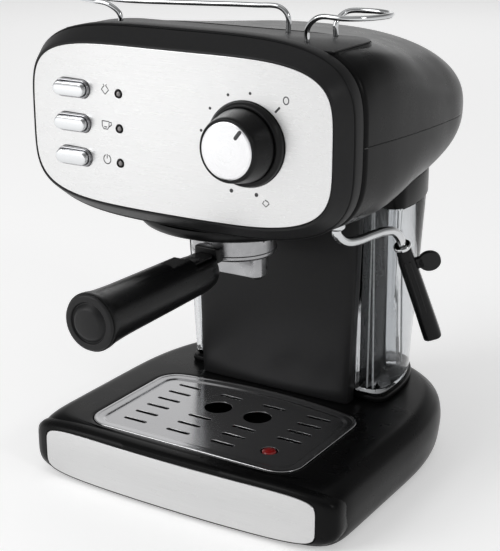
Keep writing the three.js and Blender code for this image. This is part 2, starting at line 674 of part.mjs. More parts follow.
function buildPump(machine) {
  const pump = subassembly(machine, -8, 86, 0);
  const body = turned([
    [0, 56], [5, 56], [5, 66], [17, 67], [17, 92], [22, 93], [22, 126], [12, 127], [12, 150], [0, 150],
  ], 20);
  add(pump, 'pump', body, ALUMINIUM);
  const hose = [
    [-8, 86, 151], [-8, 86, 170], [-7, 85, 200], [-5, 76, 228], [-2, 50, 252], [0, 22, 272],
    [0, 4, 281], [0, -6, 280], [0, GROUP.y, 274], [0, GROUP.y, 265],
  ];
  add(machine, 'brew_hose', wire(hose, 3, 26), SILICONE);
}

// ---------------------------------------------------------------- the machine

const machine = new THREE.Group();
buildBase(machine);
buildDripTray(machine);
buildColumn(machine);
buildTank(machine);
buildHeadShells(machine);
buildHeadFront(machine);
buildCupShelf(machine);
buildKnob(machine);
buildButtons(machine);
buildGroup(machine);
buildPortafilter(machine);
buildWand(machine);
buildPump(machine);

export default machine;
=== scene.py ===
"""Looks of the espresso machine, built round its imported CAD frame.

Shapes are worked out in millimetres in the frame's axes: +X right, -Y front, +Z up.
make() turns them into metres. Main sizes come from the CAD nodes' boxes.
"""

from math import atan2, cos, degrees, hypot, pi, radians, sin, tan

import bmesh
import bpy
from mathutils import Matrix, Vector


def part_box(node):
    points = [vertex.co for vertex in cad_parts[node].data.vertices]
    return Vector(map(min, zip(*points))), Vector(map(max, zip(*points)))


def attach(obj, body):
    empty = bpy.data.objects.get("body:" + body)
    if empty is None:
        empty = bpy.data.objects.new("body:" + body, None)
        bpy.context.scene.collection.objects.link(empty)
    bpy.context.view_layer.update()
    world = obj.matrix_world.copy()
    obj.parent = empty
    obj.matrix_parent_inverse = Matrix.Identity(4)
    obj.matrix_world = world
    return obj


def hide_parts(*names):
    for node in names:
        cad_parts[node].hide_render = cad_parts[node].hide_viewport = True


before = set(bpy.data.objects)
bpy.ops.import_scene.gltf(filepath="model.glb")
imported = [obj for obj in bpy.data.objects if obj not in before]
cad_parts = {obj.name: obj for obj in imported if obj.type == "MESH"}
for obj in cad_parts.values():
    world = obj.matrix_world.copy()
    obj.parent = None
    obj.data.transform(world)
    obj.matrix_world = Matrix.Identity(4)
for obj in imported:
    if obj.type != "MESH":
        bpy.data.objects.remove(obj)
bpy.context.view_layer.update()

MM = 0.001


class Box:
    """Corners, centre and size of a CAD node at rest, in millimetres."""

    def __init__(self, node):
        low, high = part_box(node)
        self.x0, self.y0, self.z0 = (value / MM for value in low)
        self.x1, self.y1, self.z1 = (value / MM for value in high)
        self.cx = (self.x0 + self.x1) / 2
        self.cy = (self.y0 + self.y1) / 2
        self.cz = (self.z0 + self.z1) / 2
        self.width = self.x1 - self.x0
        self.depth = self.y1 - self.y0
        self.height = self.z1 - self.z0


# ---------------------------------------------------------------- sizes in millimetres

HOUSING = Box("base_housing")
TRIM = Box("base_front_trim")
TRAY = Box("drip_tray")
FLOAT = Box("water_level_float")
PANEL = Box("column_front_panel")
SPINE = Box("column_spine")
TANK = Box("water_tank")
TANK_FOOT = Box("tank_foot")
LID = Box("tank_lid")
BEZEL = Box("head_front_bezel")
FASCIA = Box("head_fascia")
SHELF = Box("cup_shelf_plate")
SKIRT = Box("knob_skirt")
KNOB = Box("steam_knob")
CAP = Box("knob_cap")
BOWL = Box("portafilter_bowl")
SAUCER = Box("group_saucer")
SPOUT = Box("portafilter_spout")
HANDLE = Box("portafilter_handle")
END_CAP = Box("handle_end_cap")

PLAN_POINTS = 240  # the rings of the base and of the tray are skinned together, so they share it
BASE_MIDDLE = 20  # depth of the base's widest place
BASE_BOW = 5.7  # how far the base's front falls back at its ends
TRIM_POWER = 6.5  # squareness of the steel trim; the other powers are the same kind of number
TRAY_CORNER = 17
TRAY_LEAN = 0.22  # slope in radians of the ends of the tray's bowed rear edge
TRAY_REAR = 30
GRILLE = {"column": 36.2, "row": 13.7, "first": -53.4, "slot": 18.8, "slit": 3.2}
GRILLE_ROWS = ((0, 1, 2, 3, 4, 5), (0, 1, 2, 5), (0, 1, 2, 5), (2, 3, 4, 5))  # of each column
CUP_HOLE = {"radius": 10, "x": 16.4, "y": -5}
NOTCH = {"half": 59.5, "rear": 124}  # the room for the column in the tank
# Ribs of the tank, on both sides, in light grey as painted highlight lines of its clear wall: x at the
# foot, x at the top, y.
RIB_LINES = ((69, 69.4, 60.6), (73.4, 70.6, 60.9), (60.8, 60.8, 122), (64.5, 65.5, 122))
BEZEL_POWER = 3.7
BEZEL_BOW = 4.4  # how far the bezel and the fascia fall back at their ends
FASCIA_POWER = 4.4
FASCIA_BOW = 6.7
BEZEL_CREST = -69.4  # depth of the bezel's foremost ridge
SEAM = {"z": 254, "slope": -0.0576, "gap": 0.12}  # height at y 0, fall towards the back, half gap
# Sections of the head from front to back: y, half width, top, underside, power above and below.
HEAD_SECTIONS = [
    (BEZEL.y1 + 0.3, 120.5, 319.0, 193.4, 3.7, 3.7),
    (-40, 120.9, 316.4, 193.4, 4.7, 3.8),
    (-10, 121, 313.6, 193.4, 5.3, 4.0),
    (40, 119, 309.0, 194, 3.5, 3.0),
    (75, 116, 306.2, 196, 2.8, 2.8),
    (105, 112, 303.2, 200, 2.45, 2.6),
    (132, 102, 296.5, 205, 2.35, 2.5),
    (152, 86, 285, 212, 2.3, 2.4),
    (163, 66, 270.5, 220, 2.2, 2.3),
    (168.4, 42, 257, 230, 2.1, 2.2),
]
HEAD_NOSE = 1.6  # how far the head bulges behind its last section
HEAD_WALL = 2.4
SHELF_SIZE = {"half": 100, "rear": 6, "corner": 20, "fade": 60}
BUTTONS = ("steam", "brew", "power")
LAMP_X = Box("lamp_brew").cx
STROKE = 0.7  # width of the printed lines
GROUP_Y = BOWL.cy
WAND = {"x": 78, "y": -10, "z": 196.4, "heading": 1.2924, "radius": 3.1}
SLEEVE_TOP = Vector((65.5, 0, -30.6))  # in the wand's own axes
SLEEVE_TIP = Vector((101.9, 0, -105.4))
CAMERA = {"lens": 87.5, "place": (0.4646, -0.7436, 0.4321), "turn": (71.7, 0, 31.6)}  # metres, degrees


# ---------------------------------------------------------------- outlines

def evenly(points, count):
    """The same closed outline with count points at equal steps along it."""
    loop = points + points[:1]
    lengths = [0.0]
    for a, b in zip(loop, loop[1:]):
        lengths.append(lengths[-1] + hypot(b[0] - a[0], b[1] - a[1]))
    result = []
    k = 0
    for i in range(count):
        target = lengths[-1] * i / count
        while lengths[k + 1] < target:
            k += 1
        t = (target - lengths[k]) / (lengths[k + 1] - lengths[k])
        a, b = loop[k], loop[k + 1]
        result.append((a[0] + (b[0] - a[0]) * t, a[1] + (b[1] - a[1]) * t))
    return result


def signed_power(value, power):
    return (1 if value >= 0 else -1) * abs(value) ** power


def superellipse(width, height, power, count=160):
    """Squared ellipse that starts at +x; a higher power gives squarer corners."""
    fine = []
    for i in range(count * 6):
        angle = 2 * pi * i / (count * 6)
        u = width / 2 * signed_power(cos(angle), 2 / power)
        v = height / 2 * signed_power(sin(angle), 2 / power)
        fine.append((u, v))
    return evenly(fine, count)


def arc(x, y, radius, start, end, steps=8):
    """Points of an arc, angles in degrees."""
    points = []
    for i in range(steps + 1):
        angle = radians(start + (end - start) * i / steps)
        points.append((x + radius * cos(angle), y + radius * sin(angle)))
    return points


def stadium(width, height, steps=12):
    """Pill outline, its long side along x."""
    r = height / 2
    reach = width / 2 - r
    return arc(reach, 0, r, -90, 90, steps) + arc(-reach, 0, r, 90, 270, steps)


def rounded_box(width, height, radius, steps=6):
    x, y = width / 2 - radius, height / 2 - radius
    corners = ((x, y, 0), (-x, y, 90), (-x, -y, 180), (x, -y, 270))
    return [p for cx, cy, a in corners for p in arc(cx, cy, radius, a, a + 90, steps)]


def filleted(points, steps=4):
    """Open outline of (u, v) or (u, v, radius) points with those corners rounded."""
    result = []
    for i, point in enumerate(points):
        corner = Vector(point[:2])
        radius = point[2] if len(point) > 2 else 0
        if radius == 0 or i in (0, len(points) - 1):
            result.append(tuple(corner))
            continue
        before = (Vector(points[i - 1][:2]) - corner).normalized()
        after = (Vector(points[i + 1][:2]) - corner).normalized()
        start, end = corner + before * radius, corner + after * radius
        for k in range(steps + 1):
            t = k / steps
            spot = start * (1 - t) ** 2 + corner * 2 * t * (1 - t) + end * t ** 2
            result.append(tuple(spot))
    return result


def blend(a, b, start, end, at):
    """Value at a place between a at start and b at end."""
    return a * ((end - at) / (end - start)) + b * ((at - start) / (end - start))


def smooth_path(points, per_span=8):
    """Centripetal Catmull-Rom curve through points of any dimension."""
    pts = [Vector(p) for p in points]
    pts = [2 * pts[0] - pts[1]] + pts + [2 * pts[-1] - pts[-2]]
    path = []
    for a, b, c, d in zip(pts, pts[1:], pts[2:], pts[3:]):
        t = [0.0]
        for p, q in ((a, b), (b, c), (c, d)):
            t.append(t[-1] + max((q - p).length ** 0.5, 1e-6))
        for k in range(per_span):
            s = t[1] + (t[2] - t[1]) * k / per_span
            ab = blend(a, b, t[0], t[1], s)
            bc = blend(b, c, t[1], t[2], s)
            cd = blend(c, d, t[2], t[3], s)
            early, late = blend(ab, bc, t[0], t[2], s), blend(bc, cd, t[1], t[3], s)
            path.append(blend(early, late, t[1], t[2], s))
    path.append(pts[-2])
    return path


# ---------------------------------------------------------------- solids: (vertices, faces)

def level_ring(outline, z, x=0.0, y=0.0):
    """An outline as a ring at height z."""
    return [(x + u, y + v, z) for u, v in outline]


def loft(rings, ends="fan", wrap=False):
    """Skin over closed rings of matching points. ends: fan, mirror strips or open."""
    count = len(rings[0])
    verts = [tuple(p) for ring in rings for p in ring]
    faces = []
    spans = len(rings) if wrap else len(rings) - 1
    for r in range(spans):
        here, there = r * count, ((r + 1) % len(rings)) * count
        for i in range(count):
            j = (i + 1) % count
            faces.append((here + i, here + j, there + j, there + i))
    if wrap or ends == "open":
        return verts, faces
    for start, flip in ((0, True), ((len(rings) - 1) * count, False)):
        if ends == "fan":
            cap = [tuple(range(start, start + count))]
        else:
            cap = mirror_strips(start, count)
        faces += [tuple(reversed(f)) if flip else f for f in cap]
    return verts, faces


def mirror_strips(start, count):
    """Faces across a ring whose point i mirrors point count - i."""
    faces = []
    half = count // 2
    for i in range(half):
        far, next_far = (count - i) % count, count - i - 1
        if i == 0:
            faces.append((start, start + 1, start + next_far))
        elif i == half - 1:
            faces.append((start + i, start + i + 1, start + far))
        else:
            faces.append((start + i, start + i + 1, start + next_far, start + far))
    return faces


def lathe(profile, segments=72):
    """Solid of revolution about Z from [radius, z] points, low z first."""
    verts, faces, rows = [], [], []
    for radius, z in profile:
        if radius < 1e-6:
            rows.append([len(verts)] * segments)
            verts.append((0, 0, z))
            continue
        rows.append(list(range(len(verts), len(verts) + segments)))
        for i in range(segments):
            angle = 2 * pi * i / segments
            verts.append((radius * cos(angle), radius * sin(angle), z))
    for low, high in zip(rows, rows[1:]):
        for i in range(segments):
            j = (i + 1) % segments
            face = []
            for v in (low[i], low[j], high[j], high[i]):
                if v not in face:
                    face.append(v)
            if len(face) > 2:
                faces.append(tuple(face))
    return verts, faces


def ring_solid(profile, segments=72):
    """Lathe of a closed profile that never touches the axis."""
    rings = []
    for radius, z in profile:
        rings.append([(radius * cos(2 * pi * i / segments), radius * sin(2 * pi * i / segments), z)
                      for i in range(segments)])
    return loft(rings, wrap=True)


def tube(path, radius, sides=20, flatten=1.0):
    """Round bar along a path of 3-D points, with domed ends."""
    path = [Vector(p) for p in path]
    tangent = (path[1] - path[0]).normalized()
    normal = tangent.orthogonal().normalized()
    rings = []
    for i, point in enumerate(path):
        ahead = path[min(i + 1, len(path) - 1)] - path[max(i - 1, 0)]
        new_tangent = ahead.normalized()
        normal = tangent.rotation_difference(new_tangent) @ normal
        tangent = new_tangent
        side = tangent.cross(normal)
        stations = [(0, 1)]
        if i == 0:
            stations = [(-0.9, 0.3), (-0.5, 0.8), (0, 1)]
        if i == len(path) - 1:
            stations = [(0, 1), (0.5, 0.8), (0.9, 0.3)]
        for forward, scale in stations:
            centre = point + tangent * radius * forward * 0.5
            ring = []
            for k in range(sides):
                angle = 2 * pi * k / sides
                spoke = normal * cos(angle) + side * sin(angle)
                ring.append(centre + Vector((spoke.x, spoke.y * flatten, spoke.z)) * radius * scale)
            rings.append(ring)
    return loft(rings)


def slab(outline, z0, z1, edge=0.6, steps=3):
    """Upright solid over a convex outline, its top and bottom edges rounded."""
    cx = sum(p[0] for p in outline) / len(outline)
    cy = sum(p[1] for p in outline) / len(outline)
    reach = max(hypot(p[0] - cx, p[1] - cy) for p in outline)
    turns = [pi / 2 * k / steps for k in range(steps + 1)]
    levels = [(z0 + edge * (1 - cos(turn)), edge * (1 - sin(turn))) for turn in turns]
    levels += [(z1 - edge * (1 - cos(turn)), edge * (1 - sin(turn))) for turn in reversed(turns)]
    rings = []
    for z, inset in levels:
        scale = 1 - inset / reach
        rings.append(level_ring([((x - cx) * scale, (y - cy) * scale) for x, y in outline], z, cx, cy))
    return loft(rings)


def sheet(outline, holes, thickness, edge):
    """Flat sheet in the XY plane with holes and softly rounded edges."""
    curve = bpy.data.curves.new("sheet", "CURVE")
    curve.dimensions = "2D"
    curve.fill_mode = "BOTH"
    curve.extrude = thickness / 2 - edge
    curve.bevel_depth = edge
    curve.bevel_resolution = 2
    curve.offset = -edge
    for points in [outline] + list(holes):
        spline = curve.splines.new("POLY")
        spline.points.add(len(points) - 1)
        for spot, (x, y) in zip(spline.points, points):
            spot.co = (x, y, 0, 1)
        spline.use_cyclic_u = True
    holder = bpy.data.objects.new("sheet", curve)
    mesh = bpy.data.meshes.new_from_object(holder)
    verts = [tuple(v.co) for v in mesh.vertices]
    faces = [tuple(f.vertices) for f in mesh.polygons]
    bpy.data.objects.remove(holder)
    bpy.data.curves.remove(curve)
    bpy.data.meshes.remove(mesh)
    return verts, faces


def moved(solid, matrix):
    verts, faces = solid
    return [tuple(matrix @ Vector(v)) for v in verts], faces


def shifted(solid, x=0.0, y=0.0, z=0.0):
    return moved(solid, Matrix.Translation((x, y, z)))


def facing_front(solid, x, y, z):
    """A solid made along +Z, turned to face the front and placed."""
    return moved(solid, Matrix.Translation((x, y, z)) @ Matrix.Rotation(pi / 2, 4, "X"))


def joined(*solids):
    verts, faces = [], []
    for v, f in solids:
        offset = len(verts)
        verts += v
        faces += [tuple(i + offset for i in face) for face in f]
    return verts, faces


def as_mesh(solid):
    """Editable mesh of a solid, its doubled points merged."""
    verts, faces = solid
    mesh = bmesh.new()
    made = [mesh.verts.new(v) for v in verts]
    for face in faces:
        mesh.faces.new([made[i] for i in face])
    bmesh.ops.remove_doubles(mesh, verts=mesh.verts, dist=1e-4)
    return mesh


def as_solid(mesh):
    mesh.verts.index_update()
    result = [tuple(v.co) for v in mesh.verts], [tuple(v.index for v in f.verts) for f in mesh.faces]
    mesh.free()
    return result


def cut_by_plane(mesh, place, normal, **options):
    whole = mesh.verts[:] + mesh.edges[:] + mesh.faces[:]
    return bmesh.ops.bisect_plane(mesh, geom=whole, plane_co=place, plane_no=normal, **options)


def bent(solid, rule, cuts=()):
    """The solid with rule(x, y, z) applied, after cuts across x so that it bends evenly."""
    mesh = as_mesh(solid)
    for x in cuts:
        cut_by_plane(mesh, (x, 0, 0), (1, 0, 0))
    verts, faces = as_solid(mesh)
    return [rule(*v) for v in verts], faces


def make(name, solid, material, body="body", stands_for=(), sharp=32):
    """Blender object of a solid in millimetres, smooth but for edges over sharp degrees.
    """
    verts, faces = solid
    mesh = bpy.data.meshes.new(name)
    mesh.from_pydata([Vector(v) * MM for v in verts], [], faces)
    tidy = bmesh.new()
    tidy.from_mesh(mesh)
    bmesh.ops.remove_doubles(tidy, verts=tidy.verts, dist=1e-6)
    bmesh.ops.recalc_face_normals(tidy, faces=tidy.faces)
    tidy.to_mesh(mesh)
    tidy.free()
    mesh.polygons.foreach_set("use_smooth", [True] * len(mesh.polygons))
    mesh.set_sharp_from_angle(angle=radians(sharp))
    mesh.materials.append(material)
    piece = bpy.data.objects.new(name, mesh)
    bpy.context.scene.collection.objects.link(piece)
    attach(piece, body)
    if stands_for:
        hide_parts(*stands_for)
    return piece


# ---------------------------------------------------------------- materials

class Shader:
    """A Principled material with a few helpers to hang procedural detail on it."""

    NOISE_RANGE = 0.3, 0.7  # nearly all of a noise texture's values lie in it

    def __init__(self, name, colour, roughness, metallic=0.0, **sockets):
        self.material = bpy.data.materials.new(name)
        self.material.use_nodes = True
        self.nodes = self.material.node_tree.nodes
        self.links = self.material.node_tree.links
        self.surface = self.nodes["Principled BSDF"]
        self.surface.inputs["Base Color"].default_value = (*colour, 1)
        self.surface.inputs["Roughness"].default_value = roughness
        self.surface.inputs["Metallic"].default_value = metallic
        for key, value in sockets.items():
            self.surface.inputs[key.replace("_", " ")].default_value = value
        self.place = self.nodes.new("ShaderNodeTexCoord").outputs["Object"]

    def stretched(self, scale):
        mapping = self.nodes.new("ShaderNodeMapping")
        mapping.inputs["Scale"].default_value = scale
        self.links.new(self.place, mapping.inputs["Vector"])
        return mapping.outputs["Vector"]

    def noise(self, scale, detail=3.0, vector=None):
        texture = self.nodes.new("ShaderNodeTexNoise")
        texture.inputs["Scale"].default_value = scale
        texture.inputs["Detail"].default_value = detail
        self.links.new(vector or self.place, texture.inputs["Vector"])
        return texture.outputs["Fac"]

    def between(self, factor, low, high):
        remap = self.nodes.new("ShaderNodeMapRange")
        remap.inputs["From Min"].default_value, remap.inputs["From Max"].default_value = self.NOISE_RANGE
        remap.inputs["To Min"].default_value = low
        remap.inputs["To Max"].default_value = high
        self.links.new(factor, remap.inputs["Value"])
        return remap.outputs["Result"]

    def roughness(self, factor, low, high):
        self.links.new(self.between(factor, low, high), self.surface.inputs["Roughness"])

    def colour(self, factor, first, second):
        ramp = self.nodes.new("ShaderNodeValToRGB")
        for element, spot, shade in zip(ramp.color_ramp.elements, self.NOISE_RANGE, (first, second)):
            element.position = spot
            element.color = (*shade, 1)
        self.links.new(factor, ramp.inputs["Fac"])
        self.links.new(ramp.outputs["Color"], self.surface.inputs["Base Color"])

    def bump(self, height, strength, distance):
        node = self.nodes.new("ShaderNodeBump")
        node.inputs["Strength"].default_value = strength
        node.inputs["Distance"].default_value = distance
        self.links.new(height, node.inputs["Height"])
        self.links.new(node.outputs["Normal"], self.surface.inputs["Normal"])


def gloss_plastic(name, colour, roughness, reflectance):
    """Moulded plastic with a faint waviness."""
    shader = Shader(name, colour, roughness, Specular_IOR_Level=reflectance)
    lighter = tuple(c * 1.25 for c in colour)
    shader.colour(shader.noise(28), colour, lighter)
    shader.roughness(shader.noise(60), roughness - 0.02, roughness + 0.03)
    shader.bump(shader.noise(420, 2), 0.008, 0.0001)
    return shader.material


def satin_plastic(name, colour, roughness, grain=2600):
    """Moulded plastic with a fine etched grain."""
    shader = Shader(name, colour, roughness, Specular_IOR_Level=0.2)
    lighter = tuple(c * 1.15 for c in colour)
    shader.colour(shader.noise(300), colour, lighter)
    shader.roughness(shader.noise(700), roughness - 0.03, roughness + 0.03)
    shader.bump(shader.noise(grain, 2), 0.25, 0.00006)
    return shader.material


def brushed_metal(name, colour, roughness, grain):
    """Sheet metal with fine straight brush lines; grain stretches the noise across them."""
    shader = Shader(name, colour, roughness, 1.0)
    lines = shader.noise(1.0, 4, shader.stretched(grain))
    shader.colour(lines, colour, tuple(min(1, c * 1.06) for c in colour))
    shader.roughness(lines, roughness - 0.05, roughness + 0.08)
    shader.bump(lines, 0.12, 0.00004)
    return shader.material


def spun_metal(name, colour, roughness, centre):
    """Metal turned on a lathe: the brush lines are rings round centre in the XZ plane."""
    shader = Shader(name, colour, roughness, 1.0)
    mapping = shader.nodes.new("ShaderNodeMapping")
    mapping.inputs["Location"].default_value = (-centre[0] * MM, 0, -centre[1] * MM)
    mapping.inputs["Scale"].default_value = (1, 0, 1)
    length = shader.nodes.new("ShaderNodeVectorMath")
    length.operation = "LENGTH"
    shader.links.new(shader.place, mapping.inputs["Vector"])
    shader.links.new(mapping.outputs["Vector"], length.inputs[0])
    rings = shader.nodes.new("ShaderNodeTexNoise")
    rings.noise_dimensions = "1D"
    rings.inputs["Scale"].default_value = 5200
    shader.links.new(length.outputs["Value"], rings.inputs["W"])
    shader.roughness(rings.outputs["Fac"], roughness - 0.06, roughness + 0.08)
    shader.bump(rings.outputs["Fac"], 0.2, 0.00005)
    return shader.material


def polished_metal(name, colour, roughness):
    shader = Shader(name, colour, roughness, 1.0)
    shader.roughness(shader.noise(35), roughness, roughness + 0.05)
    shader.bump(shader.noise(120, 1), 0.004, 0.0001)
    return shader.material


def cast_metal(name, colour, roughness):
    """Die-cast metal with a fine matt skin."""
    shader = Shader(name, colour, roughness, 1.0)
    shader.colour(shader.noise(70), colour, tuple(c * 0.86 for c in colour))
    shader.roughness(shader.noise(240), roughness - 0.06, roughness + 0.08)
    shader.bump(shader.noise(1800, 2), 0.2, 0.00008)
    return shader.material


def soft_rubber(name, colour):
    shader = Shader(name, colour, 0.75)
    shader.colour(shader.noise(80), colour, tuple(c * 1.5 for c in colour))
    shader.bump(shader.noise(1400, 3), 0.3, 0.0001)
    return shader.material


def clear_plastic(name):
    """Clear moulded tank wall with slight flow lines."""
    shader = Shader(name, (0.8, 0.81, 0.82), 0.03, IOR=1.09, Transmission_Weight=1.0)
    shader.roughness(shader.noise(30), 0.01, 0.04)
    shader.bump(shader.noise(1.0, 2, shader.stretched((60, 60, 14))), 0.02, 0.0003)
    return shader.material


def lens_plastic(name, colour):
    shader = Shader(name, colour, 0.14, Coat_Weight=0.6)
    shader.colour(shader.noise(500), colour, tuple(c * 1.6 for c in colour))
    shader.bump(shader.noise(900, 1), 0.1, 0.0001)
    return shader.material


def printed_ink(name, colour):
    shader = Shader(name, colour, 0.5)
    shader.colour(shader.noise(900), colour, tuple(c * 1.4 for c in colour))
    return shader.material


BLACK = gloss_plastic("black_gloss", (0.004, 0.004, 0.0042), 0.28, 0.1)
BAND = satin_plastic("black_band", (0.013, 0.013, 0.0135), 0.4)
SATIN = satin_plastic("black_satin", (0.005, 0.005, 0.0053), 0.36)
COLUMN = satin_plastic("column_black", (0.009, 0.009, 0.0095), 0.42)
GRIP = satin_plastic("grip_black", (0.004, 0.004, 0.0043), 0.3, 3200)
STAINLESS = brushed_metal("brushed_stainless", (0.7, 0.7, 0.7), 0.3, (30, 1200, 2600))
TRIM_STEEL = brushed_metal("trim_stainless", (0.66, 0.66, 0.66), 0.32, (30, 1200, 2600))
PRESSED = polished_metal("polished_steel", (0.56, 0.56, 0.57), 0.16)
CHROME = polished_metal("chrome", (0.66, 0.67, 0.68), 0.05)
DARK_CHROME = polished_metal("dark_chrome", (0.3, 0.3, 0.31), 0.08)
CAST = cast_metal("cast_aluminium", (0.42, 0.42, 0.43), 0.3)
SPUN = spun_metal("spun_aluminium", (0.8, 0.8, 0.81), 0.3, (KNOB.cx, KNOB.cz))
BRASS = polished_metal("brass", (0.6, 0.42, 0.16), 0.25)
RUBBER = soft_rubber("rubber", (0.02, 0.02, 0.02))
SILICONE = soft_rubber("silicone", (0.62, 0.6, 0.55))
CLEAR = clear_plastic("clear_tank")
# Opaque light grey for the tank's ribs: painted highlight lines where the clear wall catches light.
TANK_RIB_HIGHLIGHT = lens_plastic("tank_rib_painted_highlight", (0.42, 0.43, 0.44))
RED = lens_plastic("red_float", (0.22, 0.008, 0.008))
LENS = lens_plastic("lamp_lens", (0.16, 0.15, 0.15))
INK = printed_ink("ink", (0.03, 0.03, 0.032))
BOARD = printed_ink("circuit_board", (0.03, 0.14, 0.05))


# ---------------------------------------------------------------- base and drip tray

def base_ring(z, side, front, back):
    """Plan of the base: square front corners and a wide round back, inset on each side."""
    half = HOUSING.x1 - side
    front_reach = BASE_MIDDLE - HOUSING.y0 - front
    back_reach = HOUSING.y1 - BASE_MIDDLE - back
    fine = []
    for i in range(PLAN_POINTS * 8):
        angle = 2 * pi * i / (PLAN_POINTS * 8)
        c, s = cos(angle), sin(angle)
        power = 14 if s < 0 else 2.6  # square at the front, round at the back
        x = half * signed_power(c, 2 / power)
        depth = (-front_reach if s < 0 else back_reach) * abs(s) ** (2 / power)
        bow = BASE_BOW * (x / half) ** 2 * (-depth / front_reach) if s < 0 else 0
        fine.append((x, BASE_MIDDLE + depth + bow))
    return level_ring(evenly(fine, PLAN_POINTS), z)


def tray_outline(grow):
    """Plan of the tray: round corners and a rear edge that bows towards the column."""
    radius = TRAY_CORNER + grow
    x = TRAY.x1 - TRAY_CORNER
    front, rear = TRAY.y0 + TRAY_CORNER, TRAY_REAR - TRAY_CORNER
    edge_x, edge_y = x + radius * sin(TRAY_LEAN), rear + radius * cos(TRAY_LEAN)
    lift = edge_x * tan(TRAY_LEAN)
    points = [(x + radius, (front + rear) / 2)]
    points += arc(x, rear, radius, 0, 90 - degrees(TRAY_LEAN), 12)
    for k in range(1, 24):
        t = k / 24
        points.append((edge_x * (1 - 2 * t), edge_y + 2 * t * (1 - t) * lift))
    points += arc(-x, rear, radius, 90 + degrees(TRAY_LEAN), 180, 12)
    points += arc(-x, front, radius, 180, 270, 12)
    points += arc(x, front, radius, 270, 360, 12)
    return evenly(points, PLAN_POINTS)


def tray_ring(grow, z):
    """The tray's plan at height z, grown outwards."""
    return level_ring(tray_outline(grow), z)


def build_housing():
    under, top = 1, HOUSING.z1
    sides = [
        (under, 8, 3, 6), (3, 4.6, 1.6, 4), (8, 2, 0.5, 2), (16, 0.6, 0, 0.5), (26, 0, 0, 0),
        (34, 1.6, 0.6, 1.4), (38, 5, 2.2, 4.6), (40.8, 9, 5, 9), (42.1, 13, 7.6, 13), (top, 17, 10, 17),
    ]
    rings = [base_ring(under + 2.4, 18.6, 7.6, 12.6), base_ring(under, 18.4, 7.4, 12.4)]
    rings += [base_ring(*level) for level in smooth_path(sides, 4)]
    rings += [tray_ring(4, top), tray_ring(1.8, top), tray_ring(1, top - 0.3), tray_ring(0.7, top - 1)]
    rings += [tray_ring(0.6, top - 4), tray_ring(0.6, TRAY.z0 - 1)]
    make("base_shell", loft(rings), BLACK, stands_for=["base_housing"])


def front_face(outline, levels, bow, z):
    """Loft of one outline facing the front at several depths: (y, inset) each."""
    width = max(p[0] for p in outline) * 2
    height = max(p[1] for p in outline) * 2
    rings = []
    for y, inset in levels:
        fx, fz = 1 - 2 * inset / width, 1 - 2 * inset / height
        rings.append([(u * fx, y + bow * (2 * u * fx / width) ** 2, z + v * fz) for u, v in outline])
    return loft(rings, ends="mirror")


def build_front_frame():
    """Rounded frame on the base's front that the steel trim sits in."""
    foot = 0.4
    height = HOUSING.z1 - foot

    def ring(width, high, power, back, z):
        outline = superellipse(width, high, power, 200)
        y = TRIM.y0 + back
        return [(u, y + BASE_BOW * (2 * u / HOUSING.width) ** 2, z + v) for u, v in outline]

    seat = ((-6, -6, 8), (-6, -6, 1.8), (0.5, 0.5, 1.8), (0.5, 0.5, 0.9), (1.2, 1.0, 0.3))
    rings = [ring(TRIM.width + w, TRIM.height + h, TRIM_POWER, back, TRIM.cz) for w, h, back in seat]
    face = ((TRIM.width + 9 - HOUSING.width, -4.6, 0.8), (-10, -1.8, 2.2), (-3.4, -0.4, 5),
            (-1.2, -0.2, 9), (-2.6, -1.6, 20), (-12, -8, 28))
    rings += [ring(HOUSING.width + w, height + h, TRIM_POWER - 1.6, back, foot + height / 2)
              for w, h, back in face]
    make("base_front_frame", loft(rings, wrap=True), BLACK)


def build_front_trim():
    outline = superellipse(TRIM.width, TRIM.height, TRIM_POWER)
    bow = BASE_BOW * (TRIM.width / HOUSING.width) ** 2
    levels = [(TRIM.y0 + 1.5, 0), (TRIM.y0 + 0.6, 0), (TRIM.y0 + 0.2, 0.25), (TRIM.y0, 0.8)]
    plate = front_face(outline, levels, bow, TRIM.cz)
    make("front_trim_plate", plate, TRIM_STEEL, stands_for=["base_front_trim"])


def build_grille():
    top = HOUSING.z1
    rim_profile = filleted([
        (0, top - 2.9), (0, top + 0.3, 0.5), (-1.6, top + 0.4, 0.5), (-2.6, top - 0.1, 0.6),
        (-6.6, top - 0.2, 0.6), (-8.4, top - 1.2, 0.6), (-9.6, top - 1.2),
        (-9.6, top - 2.4), (-7, top - 2.0), (-1.3, top - 1.6), (-1.3, top - 2.9),
    ])
    rim = loft([tray_ring(grow, z) for grow, z in rim_profile], wrap=True)
    make("grille_rim", rim, PRESSED, "drip_grille", ["drip_grille"])

    slot = stadium(GRILLE["slot"], GRILLE["slit"], 6)
    holes = []
    for column, rows in enumerate(GRILLE_ROWS):
        for row in rows:
            x, y = (column - 1.5) * GRILLE["column"], GRILLE["first"] + row * GRILLE["row"]
            holes.append([(x + u, y + v) for u, v in slot])
    holes += [arc(side * CUP_HOLE["x"], CUP_HOLE["y"], CUP_HOLE["radius"], 0, 350, 35) for side in (-1, 1)]
    holes.append(arc(FLOAT.cx, FLOAT.cy, 6, 0, 345, 23))
    thickness = 1.2
    plate = shifted(sheet(tray_outline(-9.3), holes, thickness, 0.25), z=top - thickness * 1.5)
    make("grille_plate", plate, PRESSED, "drip_grille", sharp=12)


def build_tray():
    low, high = TRAY.z0, TRAY.z1
    levels = [
        (-3.2, low), (-1.4, low + 0.4), (-0.4, low + 1.8), (0, low + 4), (0, high - 0.5), (-0.4, high),
        (-1.6, high), (-2, high - 0.5), (-2.2, low + 5), (-3, low + 3), (-5, low + 2.1),
    ]
    make("tray_basin", loft([tray_ring(*level) for level in levels]), SATIN, "drip_tray", ["drip_tray"])


